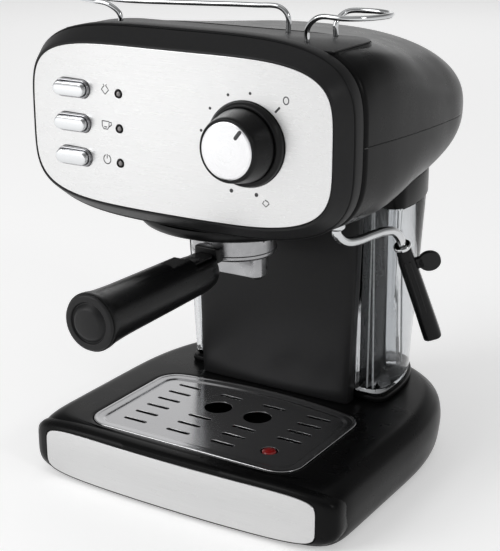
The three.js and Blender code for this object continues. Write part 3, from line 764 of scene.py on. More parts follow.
def build_feet_and_gland():
    for k in range(1, 5):
        foot = Box(f"foot_{k}")
        r = foot.width / 2
        profile = filleted([(0, 0.5), (r * 0.45, 0.5, 0.3), (r * 0.55, 0, 0.2), (r - 1, 0, 0.4),
                            (r, 1, 0.5), (r, foot.height, 0.2), (0, foot.height)])
        make(f"foot_pad_{k}", shifted(lathe(profile, 40), foot.cx, foot.cy, foot.z0), RUBBER,
             stands_for=[f"foot_{k}"])

    gland = Box("cord_gland")
    r = gland.width / 2
    profile = [(0, 0), (r * 0.7, 0), (r * 0.7, gland.depth - 6)]
    profile += [(r, gland.depth - 5.6, 0.4), (r, gland.depth - 3.4, 0.5), (r * 0.74, gland.depth - 3, 0.2)]
    profile += [(r * 0.7, gland.depth - 0.6, 0.4), (r * 0.42, gland.depth, 0.3)]
    profile += [(r * 0.36, gland.depth - 1.6), (0, gland.depth - 1.6)]
    place = Matrix.Translation((gland.cx, gland.y0, gland.cz)) @ Matrix.Rotation(-pi / 2, 4, "X")
    make("gland_bush", moved(lathe(filleted(profile), 48), place), RUBBER, stands_for=["cord_gland"])


def build_float():
    bottom, top = FLOAT.z0, FLOAT.z1
    profile = filleted([
        (0, bottom), (11, bottom, 1), (11, bottom + 7.4, 1), (3.4, bottom + 9.4), (3.4, top - 4.6),
        (4.9, top - 3.6, 0.3), (4.9, top - 1.2, 1), (2.4, top - 0.2, 0.8), (0, top),
    ])
    buoy = shifted(lathe(profile, 40), FLOAT.cx, FLOAT.cy)
    make("float_buoy", buoy, RED, "float", ["water_level_float"])


# ---------------------------------------------------------------- column and tank

def build_column():
    rings = []
    for t, inset in ((0, 0.8), (0.003, 0.2), (0.01, 0), (0.99, 0), (1, 0.5)):
        half = 62 + 5 * t - inset
        z = PANEL.z0 + PANEL.height * t
        plan = superellipse(2 * half, PANEL.depth - 2 * inset, 9)
        rings.append(level_ring(plan, z, y=PANEL.cy))
    make("column_panel", loft(rings), COLUMN, stands_for=["column_front_panel"])

    plan = [(x, SPINE.cy + y) for x, y in rounded_box(SPINE.width, SPINE.depth, 9, 10)]
    make("column_spine_shell", slab(plan, SPINE.z0, SPINE.z1, 0.5), BLACK, stands_for=["column_spine"])


def tank_outline(half, front, rear, notch_half, notch_rear):
    """U-shaped plan round the column: round back, soft front corners."""
    right = [(notch_half, front + 1), (notch_half + 0.6, front + 0.3), (notch_half + 1.6, front)]
    right += [(half - 9, front)]
    for k in range(1, 9):
        t = k / 8
        right.append((half - 9 * (1 - t) ** 2, front + 11 * t ** 2))
    handles = [(half, front + 11), (half + 3, front + 54), (half - 12, rear), (0, rear)]
    for k in range(1, 33):
        t = k / 32
        weights = ((1 - t) ** 3, 3 * t * (1 - t) ** 2, 3 * t * t * (1 - t), t ** 3)
        right.append(tuple(sum(w * p[axis] for w, p in zip(weights, handles)) for axis in (0, 1)))
    left = [(-x, y) for x, y in reversed(right[:-1])]
    recess = [(-notch_half, notch_rear - 3), (-notch_half + 1, notch_rear - 1)]
    recess += [(-notch_half + 3, notch_rear)]
    return right + left + recess + [(-x, y) for x, y in reversed(recess)]


def tank_ring(z, inset):
    """Plan of the tank at height z; its sides lean out towards the top."""
    flare = 9 * (z - TANK.z0) / TANK.height
    plan = tank_outline(81 + flare - inset, TANK.y0 + inset, TANK.y1 - inset,
                        NOTCH["half"] + inset, NOTCH["rear"] + inset)
    return level_ring(plan, z)


def build_tank():
    wall, floor, top = 2.4, TANK.z0, TANK.z1
    outside = [(floor, 2), (floor + 0.6, 0.7), (floor + 2, 0), (top - 0.5, 0), (top, 0.4)]
    inside = [(top, wall - 0.3), (top - 0.5, wall), (floor + wall + 1, wall), (floor + wall, wall + 1)]
    rings = [tank_ring(z, inset) for z, inset in outside + inside]
    make("tank_vessel", loft(rings), CLEAR, "tank", ["water_tank"])

    ribs = []
    for side in (-1, 1):
        for x_low, x_high, y in RIB_LINES:
            path = [(side * (x_low + (x_high - x_low) * k / 12), y, floor + 4 + (top - floor - 5) * k / 12)
                    for k in range(13)]
            ribs.append(tube(path, 0.7, 10))
    # the ribs' light grey paints the bright highlight lines of the clear wall
    make("tank_ribs", joined(*ribs), TANK_RIB_HIGHLIGHT, "tank")

    build_tank_band("tank_base", "tank_foot", TANK_FOOT, 0)
    build_tank_band("tank_cover", "tank_lid", LID, 0.4)


def build_tank_band(name, node, box, slack):
    """Black band above or below the tank's clear wall; slack keeps it off the head."""
    levels = [(box.z0, 1.2), (box.z0 + 0.5, 0.4), (box.z0 + 1.4, 0), (box.z1 - 1.4, 0),
              (box.z1 - 0.4, 0.4), (box.z1, 1.2)]
    rings = []
    for z, inset in levels:
        plan = tank_outline(box.x1 - slack - inset, box.y0 + inset, box.y1 - inset,
                            NOTCH["half"] + slack + inset, NOTCH["rear"] + inset)
        rings.append(level_ring(plan, z))
    make(name, loft(rings), BLACK, "tank", [node])


# ---------------------------------------------------------------- head

def head_section(y):
    """Section values at y, on smooth curves through HEAD_SECTIONS."""
    for a, b in zip(HEAD_CURVE, HEAD_CURVE[1:]):
        if a[0] <= y <= b[0]:
            t = (y - a[0]) / (b[0] - a[0])
            return [p + (q - p) * t for p, q in zip(a[1:], b[1:])]
    return list(HEAD_CURVE[-1][1:])


def eased_rows(rows, per_span):
    """Cubic (Catmull-Rom) interpolation of rows of numbers, even in their first column."""
    result = []
    for i in range(len(rows) - 1):
        p0, p1, p2, p3 = rows[max(i - 1, 0)], rows[i], rows[i + 1], rows[min(i + 2, len(rows) - 1)]
        for k in range(per_span):
            t = k / per_span
            row = [p1[0] + (p2[0] - p1[0]) * t]
            for a, b, c, d in zip(p0[1:], p1[1:], p2[1:], p3[1:]):
                h = p2[0] - p1[0]
                m1 = (c - a) / max(p2[0] - p0[0], 1e-6) * h
                m2 = (d - b) / max(p3[0] - p1[0], 1e-6) * h
                value = ((2 * t ** 3 - 3 * t ** 2 + 1) * b + (t ** 3 - 2 * t ** 2 + t) * m1
                         + (-2 * t ** 3 + 3 * t ** 2) * c + (t ** 3 - t ** 2) * m2)
                row.append(value)
            result.append(tuple(row))
    result.append(tuple(rows[-1]))
    return result


HEAD_CURVE = eased_rows(HEAD_SECTIONS, 10)


def seam_height(y):
    """Height of the line where the head's two shells meet."""
    return SEAM["z"] + SEAM["slope"] * y


def shelf_half(y, half):
    """Half width of the flat cup shelf at y, or of the matching strip behind it."""
    if y > SHELF_SIZE["rear"]:
        fade = min(1, (y - SHELF_SIZE["rear"]) / SHELF_SIZE["fade"])
        return (SHELF_SIZE["half"] - SHELF_SIZE["corner"]) * (1 - fade) + 0.7 * half * fade
    into = y - (SHELF_SIZE["rear"] - SHELF_SIZE["corner"])
    if into <= 0:
        return SHELF_SIZE["half"]
    corner = SHELF_SIZE["corner"]
    return SHELF_SIZE["half"] - corner + (corner ** 2 - into ** 2) ** 0.5


def half_width(y, z):
    """Half width of the head's surface at depth y and height z."""
    half, top, under, above, below = head_section(y)
    middle = (top + under) / 2
    power, reach = (above, top - middle) if z > middle else (below, middle - under)
    return half * max(0, 1 - (abs(z - middle) / reach) ** power) ** (1 / power)


def mirrored(right):
    """A whole row from its right half, which ends in the middle."""
    return right + [(-x, y, z) for x, y, z in reversed(right[:-1])]


def surface_z(x, y):
    """Height of the head's rounded top at (x, y)."""
    half, top, under, power, _ = head_section(y)
    middle = (top + under) / 2
    return middle + (top - middle) * max(0, 1 - (abs(x) / half) ** power) ** (1 / power)


def upper_row(y):
    """Points over the top of the head at y, from the right seam to the left one."""
    half, top, under, power, _ = head_section(y)
    middle = (top + under) / 2
    rise = top - middle
    seam = seam_height(y) + SEAM["gap"]
    crossing = max(middle, seam + 0.6)  # above it, the points follow the section's squared top
    right = []
    for k in range(3):
        z = seam + (crossing - seam) * k / 3
        right.append((half_width(y, z), y, z))
    lip = min(shelf_half(y, half), 0.97 * half)  # edge of the shelf's recess
    start = ((crossing - middle) / rise) ** (power / 2)
    stop = (1 - (lip / half) ** power) ** 0.5
    steps = 26
    for k in range(steps + 1):
        turn = start + (stop - start) * k / steps
        x = half * max(0, 1 - turn * turn) ** (1 / power)
        right.append((x, y, middle + rise * turn ** (2 / power)))
    sunk = y <= SHELF_SIZE["rear"]
    shelf_z = SHELF.z0 - 0.3
    right.append((lip - 0.4, y, shelf_z + 0.6 if sunk else surface_z(lip - 0.4, y)))
    flat = []
    for k in range(21):
        x = (lip - 0.7) * (1 - k / 20)
        flat.append((x, y, shelf_z if sunk else surface_z(x, y)))
    return mirrored(right + flat)


def lower_row(y):
    """Points under the head at y, from the right seam to the left one, top edge rounded."""
    half, top, under, _, power = head_section(y)
    middle = (top + under) / 2
    drop = middle - under
    seam = seam_height(y) - SEAM["gap"]
    floor = LID.z1 + 0.9 if y > PANEL.y1 else 0  # flat over the tank's lid
    crossing = min(middle, seam - 1.2)
    right = [(half_width(y, seam) - 0.7, y, seam), (half_width(y, seam) - 0.2, y, seam - 0.1)]
    for k in range(3):
        z = seam - 0.45 + (crossing - seam + 0.45) * k / 3
        right.append((half_width(y, z), y, z))
    start = ((middle - crossing) / drop) ** (power / 2)
    steps = 40
    for k in range(steps + 1):
        turn = start + (1 - start) * k / steps
        z = middle - drop * turn ** (2 / power)
        right.append((half * max(0, 1 - turn * turn) ** (1 / power), y, max(z, floor)))
    return mirrored(right)


def strip_grid(rows):
    """Open surface through rows of matching points."""
    verts = [p for row in rows for p in row]
    count = len(rows[0])
    faces = []
    for r in range(len(rows) - 1):
        for i in range(count - 1):
            a = r * count + i
            faces.append((a, a + 1, a + count + 1, a + count))
    return verts, faces


def head_stations():
    """Depths of the head's rows, close together where the shelf ends and at the back."""
    first, last = HEAD_SECTIONS[0][0], HEAD_SECTIONS[-1][0]
    rear, corner = SHELF_SIZE["rear"], SHELF_SIZE["corner"]
    stations = [first + (rear - corner - first) * k / 8 for k in range(8)]
    stations += [rear - corner + corner * sin(pi / 2 * k / 8) for k in range(9)]
    stations += [rear + 0.7, rear + 3]
    stations += [rear + 3 + (PANEL.y1 - 0.2 - rear - 3) * k / 7 for k in range(1, 8)]
    stations += [PANEL.y1 + 0.2]
    stations += [PANEL.y1 + (last - PANEL.y1) * (1 - (1 - k / 26) ** 1.6) for k in range(1, 27)]
    return stations


def closing_rows(last, seam):
    """Rows that round the back of a head shell off to a point on the seam."""
    steps = ((0.9, 0.3), (0.8, 0.5), (0.6, 0.75), (0.35, 0.92), (0.01, 1))  # size, way back
    return [[(x * scale, y + HEAD_NOSE * back, seam + (z - seam) * scale) for x, y, z in last]
            for scale, back in steps]


def build_head_shells():
    shells = (("head_cover", upper_row, SEAM["gap"], "head_upper_shell"),
              ("head_belly", lower_row, -SEAM["gap"], "head_lower_shell"))
    for name, row_at, gap, solid in shells:
        rows = [row_at(y) for y in head_stations()]
        rows += closing_rows(rows[-1], seam_height(HEAD_SECTIONS[-1][0]) + gap)
        shell = make(name, strip_grid(rows), BLACK, stands_for=[solid])
        wall = shell.modifiers.new("wall", "SOLIDIFY")
        wall.thickness = HEAD_WALL * MM
        wall.offset = -1


def build_bezel():
    front, rear = FASCIA.y0, BEZEL.y1 - BEZEL_BOW
    fascia_bow = FASCIA_BOW * (BEZEL.width / FASCIA.width) ** 2

    def ring(width, height, power, y, bow):
        outline = superellipse(width, height, power, 200)
        return [(u, y + bow * (2 * u / BEZEL.width) ** 2, BEZEL.cz + v) for u, v in outline]

    def beside_fascia(grow, back):
        return ring(FASCIA.width + grow, FASCIA.height + grow, FASCIA_POWER, front + back, fascia_bow)

    def on_slope(t, sink=0.0):
        """Ring at t between the fascia and the crest."""
        width, height = FASCIA.width + 4, FASCIA.height + 4
        start = front + 0.6
        return ring(width + (BEZEL.width - width) * t, height + (BEZEL.height - height) * t,
                    FASCIA_POWER + (BEZEL_POWER - FASCIA_POWER) * t,
                    start + (BEZEL_CREST - start) * t + sink, fascia_bow * (1 - t) + BEZEL_BOW * t)

    def behind_crest(grow, y):
        return ring(BEZEL.width + grow, BEZEL.height + grow, BEZEL_POWER, y, BEZEL_BOW)

    seat = ((-8, 9), (-8, 1.9), (0.6, 1.9), (0.6, 0.4), (1.6, -0.2), (3, 0.1))
    rings = [beside_fascia(*step) for step in seat]
    rings += [on_slope(t) for t in (0.02, 0.2, 0.4, 0.6, 0.78)]
    rings += [on_slope(*step) for step in ((0.82, 0.1), (0.835, 0.9), (0.86, 0.9), (0.875, 0.1), (0.94, 0))]
    rings += [behind_crest(*step) for step in (
        (-0.9, BEZEL_CREST - 1), (0, BEZEL_CREST + 0.4), (0, rear - 0.4), (-0.6, rear), (-8, rear),
        (-8, rear - 6))]
    make("head_bezel", loft(rings, wrap=True), BAND, stands_for=["head_front_bezel"])


def fascia_y(x):
    """Depth of the bowed fascia's face at x."""
    return FASCIA.y0 + FASCIA_BOW * (2 * x / FASCIA.width) ** 2


def build_fascia():
    outline = superellipse(FASCIA.width, FASCIA.height, FASCIA_POWER, 200)
    holes = [arc(SKIRT.cx, SKIRT.cz - FASCIA.cz, SKIRT.width / 2 + 0.3, 0, 355, 71)]
    for name in BUTTONS:
        collar = Box(f"button_collar_{name}")
        pill = stadium(collar.width + 0.6, collar.height + 0.6, 14)
        holes.append([(collar.cx + u, collar.cz - FASCIA.cz + v) for u, v in pill])
        holes.append(arc(LAMP_X, collar.cz - FASCIA.cz, 2.9, 0, 345, 23))
    flat = sheet(outline, holes, 1.3, 0.3)
    cuts = [FASCIA.x0 + FASCIA.width * k / 36 for k in range(1, 36)]
    plate = bent(flat, lambda u, v, w: (u, fascia_y(u) + 0.65 - w, FASCIA.cz + v), cuts)
    make("fascia_plate", plate, STAINLESS, stands_for=["head_fascia"], sharp=12)


def on_fascia(points, width):
    """A printed stroke of that width along (x, z) points, following the fascia."""
    path = [(x, fascia_y(x) - 0.02, z) for x, z in points]
    return tube(path, width / 2, 8, flatten=0.25)


def dot(x, z, radius):
    """Printed dot on the fascia."""
    profile = [(0, 0), (radius, 0), (radius, 0.12), (radius * 0.8, 0.2), (0, 0.2)]
    return facing_front(lathe(profile, 20), x, fascia_y(x) + 0.05, z)


def circle_points(rx, rz, start=0, end=360, steps=24):
    """Part of an ellipse round (0, 0), angles in degrees."""
    points = []
    for k in range(steps + 1):
        angle = radians(start + (end - start) * k / steps)
        points.append((rx * cos(angle), rz * sin(angle)))
    return points


def printed(x, z, *paths):
    """Strokes along paths given from the spot (x, z) on the fascia."""
    return [on_fascia([(x + u, z + v) for u, v in path], STROKE) for path in paths]


def build_icons():
    """Generic symbols by the buttons, each raised a little over its button's middle."""
    icons = (
        ("steam", 2.0, (
            [(-1.6, 1.2), (-2.9, -0.4), (0, -3.3), (2.9, -0.4), (1.6, 1.2)],
            [(-1.6, 1.2), (-0.6, 2.0), (-1.3, 2.9)], [(1.6, 1.2), (0.6, 2.0), (1.3, 2.9)])),
        ("cup", 1.1, (
            [(-3.2, 2.6), (-3.2, -0.6), (-2, -2.4), (1.2, -2.4), (2.4, -0.6), (2.4, 2.6), (-3.2, 2.6)],
            [(2.4, 2), (4.3, 2.2), (4.4, 0.6), (2.6, -0.8)], [(-1.5, -1.1), (0.7, -1.1)])),
        ("power", 1.3, (circle_points(2.9, 2.9, 115, 425), [(0, 3.2), (0, 0.6)])),
    )
    for button, (name, lift, paths) in zip(BUTTONS, icons):
        icon = printed(LAMP_X - 10.7, Box(f"button_{button}").cz + lift, *paths)
        make(f"icon_{name}", joined(*icon), INK)


def build_dial_marks():
    def at(turn, out):
        """Spot at turn degrees round the knob and out from its skirt."""
        reach = SKIRT.width / 2 + out
        return SKIRT.cx + reach * cos(radians(turn)), SKIRT.cz + reach * sin(radians(turn))

    marks = [dot(*at(turn, 5), 0.9) for turn in (84, 112, 141, 170)]
    marks += [dot(*at(turn, 5), 1.25) for turn in (252, 284)]
    marks.append(on_fascia([at(47, 3), at(47, 7)], 2 * STROKE))
    marks += printed(*at(47, 13), circle_points(1.7, 2.2))
    steam = [(-1.2, 1), (-2.2, -0.4), (0, -2.4), (2.2, -0.4), (1.2, 1), (-0.6, 1.8)]
    marks += printed(*at(-68, 11), steam)
    make("dial_marks", joined(*marks), INK)


def build_shelf():
    half, rear, corner = SHELF_SIZE["half"] - 1.3, SHELF_SIZE["rear"] - 0.6, SHELF_SIZE["corner"] - 0.8
    plan = [(half, SHELF.y0)] + arc(half - corner, rear - corner, corner, 0, 90, 10)
    plan += [(-x, y) for x, y in reversed(plan)]
    make("shelf_plate", slab(plan, SHELF.z0, SHELF.z1, 0.3), BAND, stands_for=["cup_shelf_plate"])


def build_rails():
    foot = SHELF.z1 + 0.2
    right = [
        (67, -31, foot), (67.2, -31, 320), (75, -32, 327), (92.6, -32, 327.4), (104, -22, 327.4),
        (108.4, -5, 327.2), (103, 8, 327), (87, 12, 327), (73, 8, 326), (70.5, -0.8, 320), (70.5, -1, foot),
    ]
    left = [
        (-69, -37, foot), (-69.6, -37.2, 320), (-77, -39, 326), (-96, -37, 327.4), (-106, -31, 327.4),
        (-108.6, -22, 326.6), (-102, -14, 325.8), (-80, -11.6, 325.4), (-30, -8, 326.6), (14, -5.4, 327.8),
        (32, -4, 327.4), (37.4, -3.4, 322), (37.6, -3.2, foot),
    ]
    for name, route in (("right", right), ("left", left)):
        bar = tube(smooth_path(route, 10), 1.7, 20)
        make(f"rail_{name}", bar, CHROME, stands_for=[f"cup_rail_{name}"])


# ---------------------------------------------------------------- controls

def build_knob():
    x, z = SKIRT.cx, SKIRT.cz
    back = SKIRT.y1
    r = SKIRT.width / 2
    skirt = filleted([(5, 0), (r, 0, 0.4), (r, 5.6, 1.2), (r - 1.8, 7.4, 0.6), (r - 3.2, 7.4, 0.4),
                      (r - 3.8, 6.8), (5, 6.8)])
    make("knob_ring", facing_front(ring_solid(skirt), x, back, z), SATIN,
         stands_for=["knob_skirt"])

    grip, face = KNOB.width / 2, CAP.width / 2
    length = back - KNOB.y0
    body = filleted([
        (0, 8), (grip, 8, 0.3), (grip, 9.6, 0.6), (grip - 0.9, 14, 2), (face + 2.4, length - 1.6, 1.2),
        (face + 1.5, length, 0.5), (face + 0.4, length, 0.3), (face + 0.3, length - 1), (0, length - 1),
    ])
    make("knob_body", facing_front(lathe(body, 96), x, back, z), GRIP, "knob",
         ["steam_knob"])

    cap = filleted([(0, length - 0.9), (face, length - 0.9), (face, length + 0.3, 0.3),
                    (face - 1, length + 0.7, 0.4), (0, length + 1)])
    make("knob_cap_disc", facing_front(lathe(cap, 96), x, back, z), SPUN, "knob", ["knob_cap"])

    pointer = slab(stadium(7, 2.3, 8), 0, 0.35, 0.15)
    angle = radians(52)
    out = face - 4.2
    spot = Matrix.Translation((x + out * cos(angle), back - length - 0.75, z + out * sin(angle)))
    turn = Matrix.Rotation(pi / 2, 4, "X") @ Matrix.Rotation(angle, 4, "Z")
    make("knob_pointer", moved(pointer, spot @ turn), INK, "knob")


def pill_stack(box, levels):
    """Rings of one pill outline facing the front: (y, inset) each."""
    rings = []
    for y, inset in levels:
        outline = stadium(box.width - 2 * inset, box.height - 2 * inset, 14)
        rings.append([(box.cx + u, y, box.cz + v) for u, v in outline])
    return rings


def build_buttons():
    for name in BUTTONS:
        button, collar = Box(f"button_{name}"), Box(f"button_collar_{name}")
        front = button.y0
        levels = [(button.y1, 0), (front + 0.8, 0), (front + 0.3, 0.12), (front + 0.05, 0.45), (front, 0.9),
                  (front - 0.1, 2.6)]
        make(f"push_{name}", loft(pill_stack(button, levels)), CHROME, f"{name}_button", [f"button_{name}"])
        hole = (collar.width - button.width) / 2 - 0.4
        levels = [(collar.y1, 0), (collar.y0 + 0.7, 0), (collar.y0 + 0.1, 0.3), (collar.y0, 0.7),
                  (collar.y0 + 0.3, hole), (collar.y1, hole)]
        make(f"collar_{name}", loft(pill_stack(collar, levels), wrap=True), DARK_CHROME,
             stands_for=[f"button_collar_{name}"])
        levels = [(collar.y1, hole + 0.05), (collar.y0 + 1.2, hole + 0.05), (collar.y0 + 1.2, hole + 0.38),
                  (collar.y1, hole + 0.38)]
        make(f"groove_{name}", loft(pill_stack(collar, levels), wrap=True), SATIN)
        lamp = Box(f"lamp_{name}")
        tip = fascia_y(lamp.cx)
        lens = filleted([(0, 0), (1.9, 0), (1.9, 3.4, 0.3), (1.2, 4.0, 0.4), (0, 4.2)])
        make(f"lens_{name}", facing_front(lathe(lens, 32), lamp.cx, tip + 3.6, lamp.cz), LENS,
             stands_for=[f"lamp_{name}"])
        ring = filleted([(1.95, 0), (2.75, 0), (2.75, 4.0, 0.3), (2.4, 4.5, 0.2), (1.95, 4.2)])
        make(f"lamp_ring_{name}", facing_front(ring_solid(ring, 40), lamp.cx, tip + 3.6, lamp.cz), SATIN)


# ---------------------------------------------------------------- brewing group

def trimmed_at_column(solid):
    """The solid with all behind the column's front cut off and closed."""
    mesh = as_mesh(solid)
    cut = cut_by_plane(mesh, (0, PANEL.y0 - 0.3, 0), (0, 1, 0), clear_outer=True)
    edges = [e for e in cut["geom_cut"] if isinstance(e, bmesh.types.BMEdge)]
    bmesh.ops.holes_fill(mesh, edges=edges)
    return as_solid(mesh)


def build_saucer():
    under, r = SAUCER.z0, SAUCER.x1
    profile = filleted([
        (31.5, under + 9.6), (31.5, under + 0.4, 0.5), (34, under, 0.5), (44, under + 0.1, 4),
        (57, under + 1.2, 4), (r - 1.4, under + 4.4, 2.4), (r, under + 7.4, 1), (r - 0.4, under + 9.6),
    ])
    saucer = trimmed_at_column(shifted(ring_solid(profile, 96), y=GROUP_Y))
    make("group_dish", saucer, SATIN, stands_for=["group_saucer"])


def build_bowl():
    r, bottom, top = BOWL.width / 2, BOWL.z0, BOWL.z1
    profile = filleted([
        (3, bottom), (24, bottom, 0.6), (27.4, bottom + 0.8, 0.6), (r - 0.3, bottom + 2.0, 0.4),
        (r, bottom + 2.8, 0.4), (r, bottom + 4.2, 0.2), (r - 0.5, bottom + 4.7, 0.2),
        (r - 0.5, top - 6.6, 0.2), (r, top - 6.1, 0.2), (r, top, 0.6), (25.6, top, 0.4),
        (25.6, top - 7.8), (19.6, top - 8.2, 0.4), (19.6, bottom + 2.5), (3, bottom + 2.5),
    ])
    bowl = shifted(ring_solid(profile, 96), y=GROUP_Y)
    make("bowl_collar", bowl, CAST, "portafilter", ["portafilter_bowl"])

    # A dark ink bar on the collar's side: painted shade standing for the inside of a slit.
    angle = radians(-15)
    slit = slab(rounded_box(1.3, 1.0, 0.3, 3), bottom + 12.6, bottom + 20.6, 0.2)
    place = Matrix.Translation((cos(angle) * (r - 0.4), GROUP_Y + sin(angle) * (r - 0.4), 0))
    make("collar_slit_painted_shade", moved(slit, place @ Matrix.Rotation(angle + pi / 2, 4, "Z")), INK, "portafilter")


def build_spout():
    under = SPOUT.z0 + 2.6
    plan = [(x, GROUP_Y + y) for x, y in rounded_box(SPOUT.width, SPOUT.depth, 5, 8)]
    make("spout_block", slab(plan, under, SPOUT.z1, 0.5), CAST, "portafilter", ["portafilter_spout"])
    nozzle = filleted([(1.8, 0), (3.3, 0, 0.4), (3.6, 2.8), (1.8, 2.8)])
    outlets = [shifted(ring_solid(nozzle, 32), x, GROUP_Y, SPOUT.z0) for x in (-18, 18)]
    make("spout_outlets", joined(*outlets), SATIN, "portafilter")


def build_handle():
    axis_z = END_CAP.cz
    end = GROUP_Y - HANDLE.y0
    start = GROUP_Y - HANDLE.y1
    r = END_CAP.width / 2 + 0.8
    recess_end, recess_top = 62, 7.6  # the clip lies in this recess
    thumb_end, thumb_top = 82, 13.4  # flat for the thumb
    profile = filleted([
        (0, start), (10, start, 0.5), (13.2, start + 3, 1.5), (14.6, start + 11, 3),
        (14.9, recess_end - 0.4), (14.9, recess_end + 0.2), (15.3, thumb_end - 0.3),
        (15.3, thumb_end + 0.3), (16.2, 135, 8),
        (17.2, end - 8, 4), (r, end - 3.2, 1.6), (r, end, 0.7), (0, end),
    ])

    def flat_on_top(x, y, z):
        limit = recess_top if -y < recess_end else thumb_top
        return (x, y, min(z, limit)) if -y < thumb_end else (x, y, z)

    barrel = bent(facing_front(lathe(profile, 96), 0, 0, 0), flat_on_top)
    make("handle_barrel", shifted(barrel, 0, GROUP_Y, axis_z), GRIP, "portafilter", ["portafilter_handle"])

    cap_r = END_CAP.width / 2
    cap = filleted([
        (0, end + 0.3), (cap_r, end + 0.3), (cap_r, end + 1.2, 0.5), (cap_r - 1.0, end + 2.0, 0.6),
        (cap_r - 4.4, end + 2.2, 0.5), (cap_r - 5, end + 0.9, 0.3), (cap_r - 5.6, end + 0.9, 0.3),
        (cap_r - 8, end + 3.4, 1.4), (cap_r - 12, end + 4.1, 3), (0, end + 4.3),
    ])
    make("handle_cap", facing_front(lathe(cap, 80), 0, GROUP_Y, axis_z), BAND, "portafilter",
         ["handle_end_cap"])


def build_neck_and_clip():
    neck = Box("portafilter_neck")
    plan = [(neck.cx + x, neck.cy + y) for x, y in rounded_box(neck.width, neck.depth, 2.4, 6)]
    make("neck_block", slab(plan, neck.z0, neck.z1, 1.2), GRIP, "portafilter", ["portafilter_neck"])

    clip = Box("basket_clip")
    plan = [(clip.cx + x, clip.cy + y) for x, y in rounded_box(clip.width, clip.depth, 3, 6)]
    parts = [slab(plan, clip.z0, clip.z1 - 0.5, 0.5)]
    for k in range(5):
        y = clip.y0 + 3 + 2 * k
        ridge = tube([(clip.cx - 4.4, y, 0), (clip.cx + 4.4, y, 0)], 0.6, 12)
        parts.append(shifted(ridge, z=clip.z1 - 0.6))
    make("clip_lever", joined(*parts), GRIP, "clip", ["basket_clip"])


# ---------------------------------------------------------------- steam wand

def wand_place():
    """From the wand's own axes, its swivel along Z, to the frame's."""
    return Matrix.Translation((WAND["x"], WAND["y"], WAND["z"])) @ Matrix.Rotation(WAND["heading"], 4, "Z")


def build_wand():
    top, along = SLEEVE_TOP, (SLEEVE_TIP - SLEEVE_TOP).normalized()
    route = [
        (0, 0, 5), (0, 0, -5.4), (2, 0, -11.4), (9, 0, -16.8), (20, 0, -18.4), (34, 0, -17.6),
        (47, 0, -17.4), (57, 0, -19.6), top - along * 6, top, top + along * 12, top + along * 40,
        top + along * 79,
    ]
    pipe = tube(smooth_path(route, 10), WAND["radius"], 28)
    make("wand_pipe", moved(pipe, wand_place()), CHROME, "wand", ["steam_wand"])

    nut = filleted([(3.5, -7), (4.7, -7, 0.4), (6.2, -5.6, 0.4), (6.2, -1.7, 0.4), (5, -1.7),
                    (5, 6), (3.5, 6)])
    make("wand_collar", moved(ring_solid(nut, 48), wand_place()), CHROME, stands_for=["wand_nut"])


def build_sleeve():
    """Square rubber sleeve on the wand's end, with its ribs, chrome ring and grip tab."""
    along = SLEEVE_TIP - SLEEVE_TOP
    length = along.length
    lean = Matrix.Rotation(atan2(along.x, along.z), 4, "Y")
    holder = wand_place() @ Matrix.Translation(SLEEVE_TOP) @ lean
    corner_up = holder @ Matrix.Rotation(-pi / 4, 4, "Z")

    stations = [(3, 9.6), (3.5, 10.4), (16, 11.2), (40, 12), (length - 6, 13), (length - 0.6, 13),
                (length, 12.2)]
    rings = [level_ring(rounded_box(across, across, across * 0.3, 6), z) for z, across in stations]
    rings += [level_ring(rounded_box(7.8, 7.8, 3.8, 6), z) for z in (length, 3)]
    make("sleeve_grip", moved(loft(rings, wrap=True), corner_up), GRIP, "sleeve", ["frother_sleeve"])

    rib = slab(rounded_box(1.1, 1.1, 0.4, 3), 12, length - 12, 0.3)
    spots = ((5.7, 1.8), (5.7, -1.8), (-5.7, 1.8), (-5.7, -1.8), (1.8, 5.7), (-1.8, 5.7))
    ribs = joined(*(shifted(rib, x, y) for x, y in spots))
    make("sleeve_ribs", moved(ribs, corner_up), BAND, "sleeve")

    ring = filleted([(3.9, -0.4), (5.6, -0.4, 0.4), (6.2, 0.4, 0.4), (6.2, 2.2, 0.4), (5.6, 2.7, 0.3),
                     (3.9, 2.7)])
    make("sleeve_band", moved(ring_solid(ring, 48), holder), CHROME, "sleeve", ["sleeve_ring"])

    disc = lathe(filleted([(0, -1.7), (7.8, -1.7, 0.5), (7.8, 1.7, 0.5), (0, 1.7)]), 48)
    tab = moved(disc, Matrix.Translation((0, -14.4, 19)) @ Matrix.Rotation(pi / 2, 4, "Y"))
    stem = shifted(slab(rounded_box(3.4, 6.6, 1, 4), 14, 22, 0.4), y=-7.6)
    make("grip_tab", moved(joined(tab, stem), corner_up), BAND, "sleeve", ["wand_grip_tab"])


# ---------------------------------------------------------------- CAD nodes that show as they are

def finish_cad_nodes():
    """Materials for the mostly hidden pieces that keep their CAD mesh."""
    looks = {
        "base_bottom_cover": SATIN, "tank_inlet_socket": RUBBER,
        "tank_outlet_nozzle": SATIN, "knob_spindle": BRASS, "steam_valve": BRASS, "control_board": BOARD,
        "group_head": CAST, "group_gasket": RUBBER, "shower_screen": PRESSED, "shower_screw": PRESSED,
        "boiler": CAST, "filter_basket": PRESSED, "pump": CAST, "brew_hose": SILICONE,
    }
    for name, material in looks.items():
        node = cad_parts[name]
        node.data.materials.clear()
        node.data.materials.append(material)


# ---------------------------------------------------------------- studio

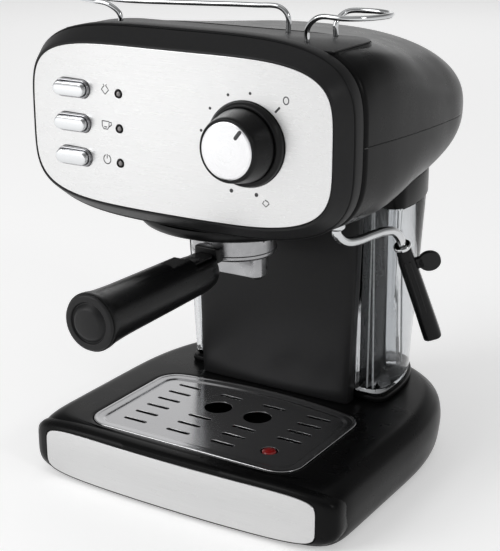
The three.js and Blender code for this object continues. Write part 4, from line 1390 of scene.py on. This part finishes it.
def build_studio():
    bpy.ops.mesh.primitive_plane_add(size=16)
    floor = bpy.context.object
    floor.name = "studio_floor"
    shader = Shader("studio_paper", (0.92, 0.92, 0.92), 0.9, Emission_Strength=0.38)
    shader.surface.inputs["Emission Color"].default_value = (1, 1, 1, 1)
    shader.roughness(shader.noise(3), 0.85, 0.95)
    floor.data.materials.append(shader.material)

    build_world()
    machine, wash = (0, 0, 0.17), (-0.7, -1.2, 0)
    lights = (
        ("key", (-0.9, -1.5, 1.5), machine, 1.2, 13),
        ("floor_wash", (-1.5, -1.9, 0.9), wash, 1.0, 12),
        ("side", (1.9, -0.5, 1.3), machine, 0.4, 4),
        ("back", (-1.1, 2.1, 1.3), machine, 1.6, 4),
    )
    for name, place, target, size, power in lights:
        light = bpy.data.lights.new(name, "AREA")
        light.size = size
        light.energy = power
        lamp = bpy.data.objects.new(name, light)
        lamp.location = place
        aim = Vector(target) - Vector(place)
        lamp.rotation_euler = aim.to_track_quat("-Z", "Y").to_euler()
        bpy.context.scene.collection.objects.link(lamp)


def build_world():
    """Studio room: bright near the horizon, dim overhead, so dark and bright bands reflect."""
    world = bpy.data.worlds.new("studio")
    world.use_nodes = True
    tree = world.node_tree
    place = tree.nodes.new("ShaderNodeTexCoord")
    split = tree.nodes.new("ShaderNodeSeparateXYZ")
    ramp = tree.nodes.new("ShaderNodeValToRGB")
    tree.links.new(place.outputs["Generated"], split.inputs["Vector"])
    tree.links.new(split.outputs["Z"], ramp.inputs["Fac"])
    tree.links.new(ramp.outputs["Color"], tree.nodes["Background"].inputs["Color"])
    stops = ((0.0, 1.0), (0.05, 0.75), (0.3, 0.5), (0.5, 0.15), (0.8, 0.35), (1.0, 0.7))
    ramp.color_ramp.elements[0].position = stops[0][0]
    ramp.color_ramp.elements[1].position = stops[-1][0]
    for position, _ in stops[1:-1]:
        ramp.color_ramp.elements.new(position)
    for element, (_, value) in zip(ramp.color_ramp.elements, stops):
        element.color = (value, value, value, 1)
    tree.nodes["Background"].inputs["Strength"].default_value = 0.9
    bpy.context.scene.world = world


def build_camera():
    lens = bpy.data.cameras.new("photo_view")
    lens.lens = CAMERA["lens"]
    camera = bpy.data.objects.new("photo_view", lens)
    camera.location = CAMERA["place"]
    camera.rotation_euler = [radians(turn) for turn in CAMERA["turn"]]
    bpy.context.scene.collection.objects.link(camera)
    bpy.context.scene.camera = camera
    bpy.context.scene.view_settings.view_transform = "Standard"


build_camera()
build_studio()
build_housing()
build_front_frame()
build_front_trim()
build_grille()
build_tray()
build_feet_and_gland()
build_float()
build_column()
build_tank()
build_head_shells()
build_bezel()
build_fascia()
build_icons()
build_dial_marks()
build_shelf()
build_rails()
build_knob()
build_buttons()
build_saucer()
build_bowl()
build_spout()
build_handle()
build_neck_and_clip()
build_wand()
build_sleeve()
finish_cad_nodes()
